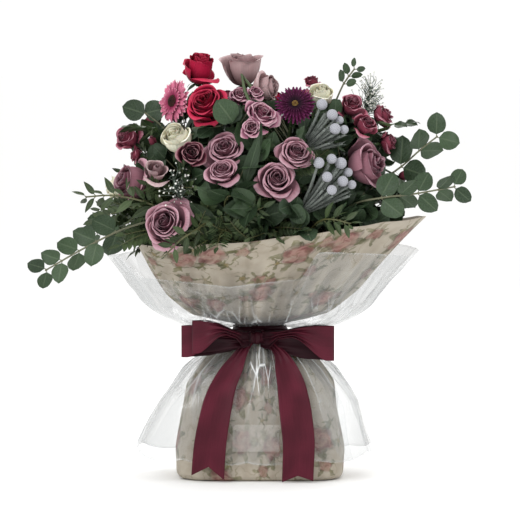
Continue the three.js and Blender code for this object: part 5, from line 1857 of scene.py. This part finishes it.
class BOUQUET_OT_bow(bpy.types.Operator):
    """Build the satin band, the knot, the loops and the tails"""

    bl_idname = "bouquet.bow"
    bl_label = "Bow"

    def execute(self, context):
        settings = context.scene.bouquet_wrapping
        satin = [satin_finish(settings.satin, settings.satin_light)]
        band_piece(satin)
        knot_piece(satin)
        for name, shape in LOOPS.items():
            loop_piece(name, materials=satin, **shape)
        for name, (centres, end, notch) in TAILS.items():
            tail_piece(name, centres, end, notch, satin)
        return {"FINISHED"}


# The camera stands a little above the bouquet's middle and looks slightly down on it, from far away: the
# width that it takes in, the height that it looks at and its distance in metres, its tilt, and its sensor
# in mm.
VIEW_WIDTH = 0.5747
VIEW_HEIGHT = 0.238
VIEW_AWAY = 4.5
VIEW_TILT = math.radians(3)
SENSOR = 36
# The studio, in metres and watts.
FLOOR_HALF = 60
FLOOR_Z = -0.0005
WORLD_LIGHT = 1.03
LIGHT_AIM = Vector((0, 0, 0.24))
LIGHTS = [
    ("key", (-1.3, -1.9, 1.9), 1.2, 28),
    ("fill", (1.9, -1.6, 0.9), 1.4, 7),
    ("back", (0.4, 1.9, 1.8), 1.2, 22),
]


def studio_light(name, place, size, power):
    """A square softbox turned to the bouquet."""
    light = bpy.data.lights.new(name, "AREA")
    light.size, light.energy = size, power
    lamp = bpy.data.objects.new(name, light)
    lamp.location = place
    lamp.rotation_euler = (LIGHT_AIM - Vector(place)).to_track_quat("-Z", "Y").to_euler()
    bpy.context.scene.collection.objects.link(lamp)


class BOUQUET_OT_stage(bpy.types.Operator):
    """Build the pale floor, the soft lights and the camera"""

    bl_idname = "bouquet.stage"
    bl_label = "Stage"

    def execute(self, context):
        scene = context.scene
        mesh = bpy.data.meshes.new("floor")
        square = ((-1, -1), (1, -1), (1, 1), (-1, 1))
        mesh.from_pydata([(FLOOR_HALF * x, FLOOR_HALF * y, FLOOR_Z) for x, y in square], [], [(0, 1, 2, 3)])
        f = Finish("pale studio floor")
        cloud = f.add("TexNoise", Scale=3.0, Detail=2.0)
        grain = f.add("ValToRGB", cloud, stops=[(0.3, "#fcfcfb"), (0.7, "#fefefd")])
        mesh.materials.append(f.set(Base_Color=grain, Roughness=0.9))
        floor = bpy.data.objects.new("floor", mesh)
        scene.collection.objects.link(floor)
        scene.world = bpy.data.worlds.new("studio")
        scene.world.use_nodes = True
        background = scene.world.node_tree.nodes["Background"]
        background.inputs["Color"].default_value = (1, 1, 1, 1)
        background.inputs["Strength"].default_value = WORLD_LIGHT
        for name, place, size, power in LIGHTS:
            studio_light(name, place, size, power)
        camera = bpy.data.cameras.new("camera")
        camera.sensor_width = SENSOR
        camera.lens = SENSOR * VIEW_AWAY / VIEW_WIDTH
        stand = bpy.data.objects.new("camera", camera)
        rise = VIEW_AWAY * math.sin(VIEW_TILT)
        stand.location = (0, -VIEW_AWAY * math.cos(VIEW_TILT), VIEW_HEIGHT + rise)
        stand.rotation_euler = (math.pi / 2 - VIEW_TILT, 0, 0)
        scene.collection.objects.link(stand)
        scene.camera = stand
        scene.view_settings.view_transform = "Standard"
        return {"FINISHED"}


class BOUQUET_PT_panel(bpy.types.Panel):
    """The bouquet's settings and operators"""

    bl_label = "Bouquet"
    bl_space_type = "VIEW_3D"
    bl_region_type = "UI"
    bl_category = "Bouquet"

    def draw(self, context):
        for settings in (context.scene.bouquet_flowers, context.scene.bouquet_wrapping):
            for name in settings.bl_rna.properties.keys():
                if name not in ("rna_type", "name"):
                    self.layout.prop(settings, name)
        for operator in OPERATORS:
            self.layout.operator(operator.bl_idname)


OPERATORS = (
    BOUQUET_OT_stage,
    BOUQUET_OT_wrapping,
    BOUQUET_OT_bow,
    BOUQUET_OT_roses,
    BOUQUET_OT_spray_roses,
    BOUQUET_OT_daisies,
    BOUQUET_OT_brunia,
    BOUQUET_OT_foliage,
)
CLASSES = (BouquetFlowers, BouquetWrapping, *OPERATORS, BOUQUET_PT_panel)


def register():
    for cls in CLASSES:
        bpy.utils.register_class(cls)
    bpy.types.Scene.bouquet_flowers = PointerProperty(type=BouquetFlowers)
    bpy.types.Scene.bouquet_wrapping = PointerProperty(type=BouquetWrapping)


def unregister():
    del bpy.types.Scene.bouquet_flowers
    del bpy.types.Scene.bouquet_wrapping
    for cls in reversed(CLASSES):
        bpy.utils.unregister_class(cls)


def main():
    register()
    bpy.ops.bouquet.stage()
    bpy.ops.bouquet.wrapping()
    bpy.ops.bouquet.bow()
    bpy.ops.bouquet.roses()
    bpy.ops.bouquet.spray_roses()
    bpy.ops.bouquet.daisies()
    bpy.ops.bouquet.brunia()
    bpy.ops.bouquet.foliage()
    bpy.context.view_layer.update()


if __name__ == "__main__":
    main()
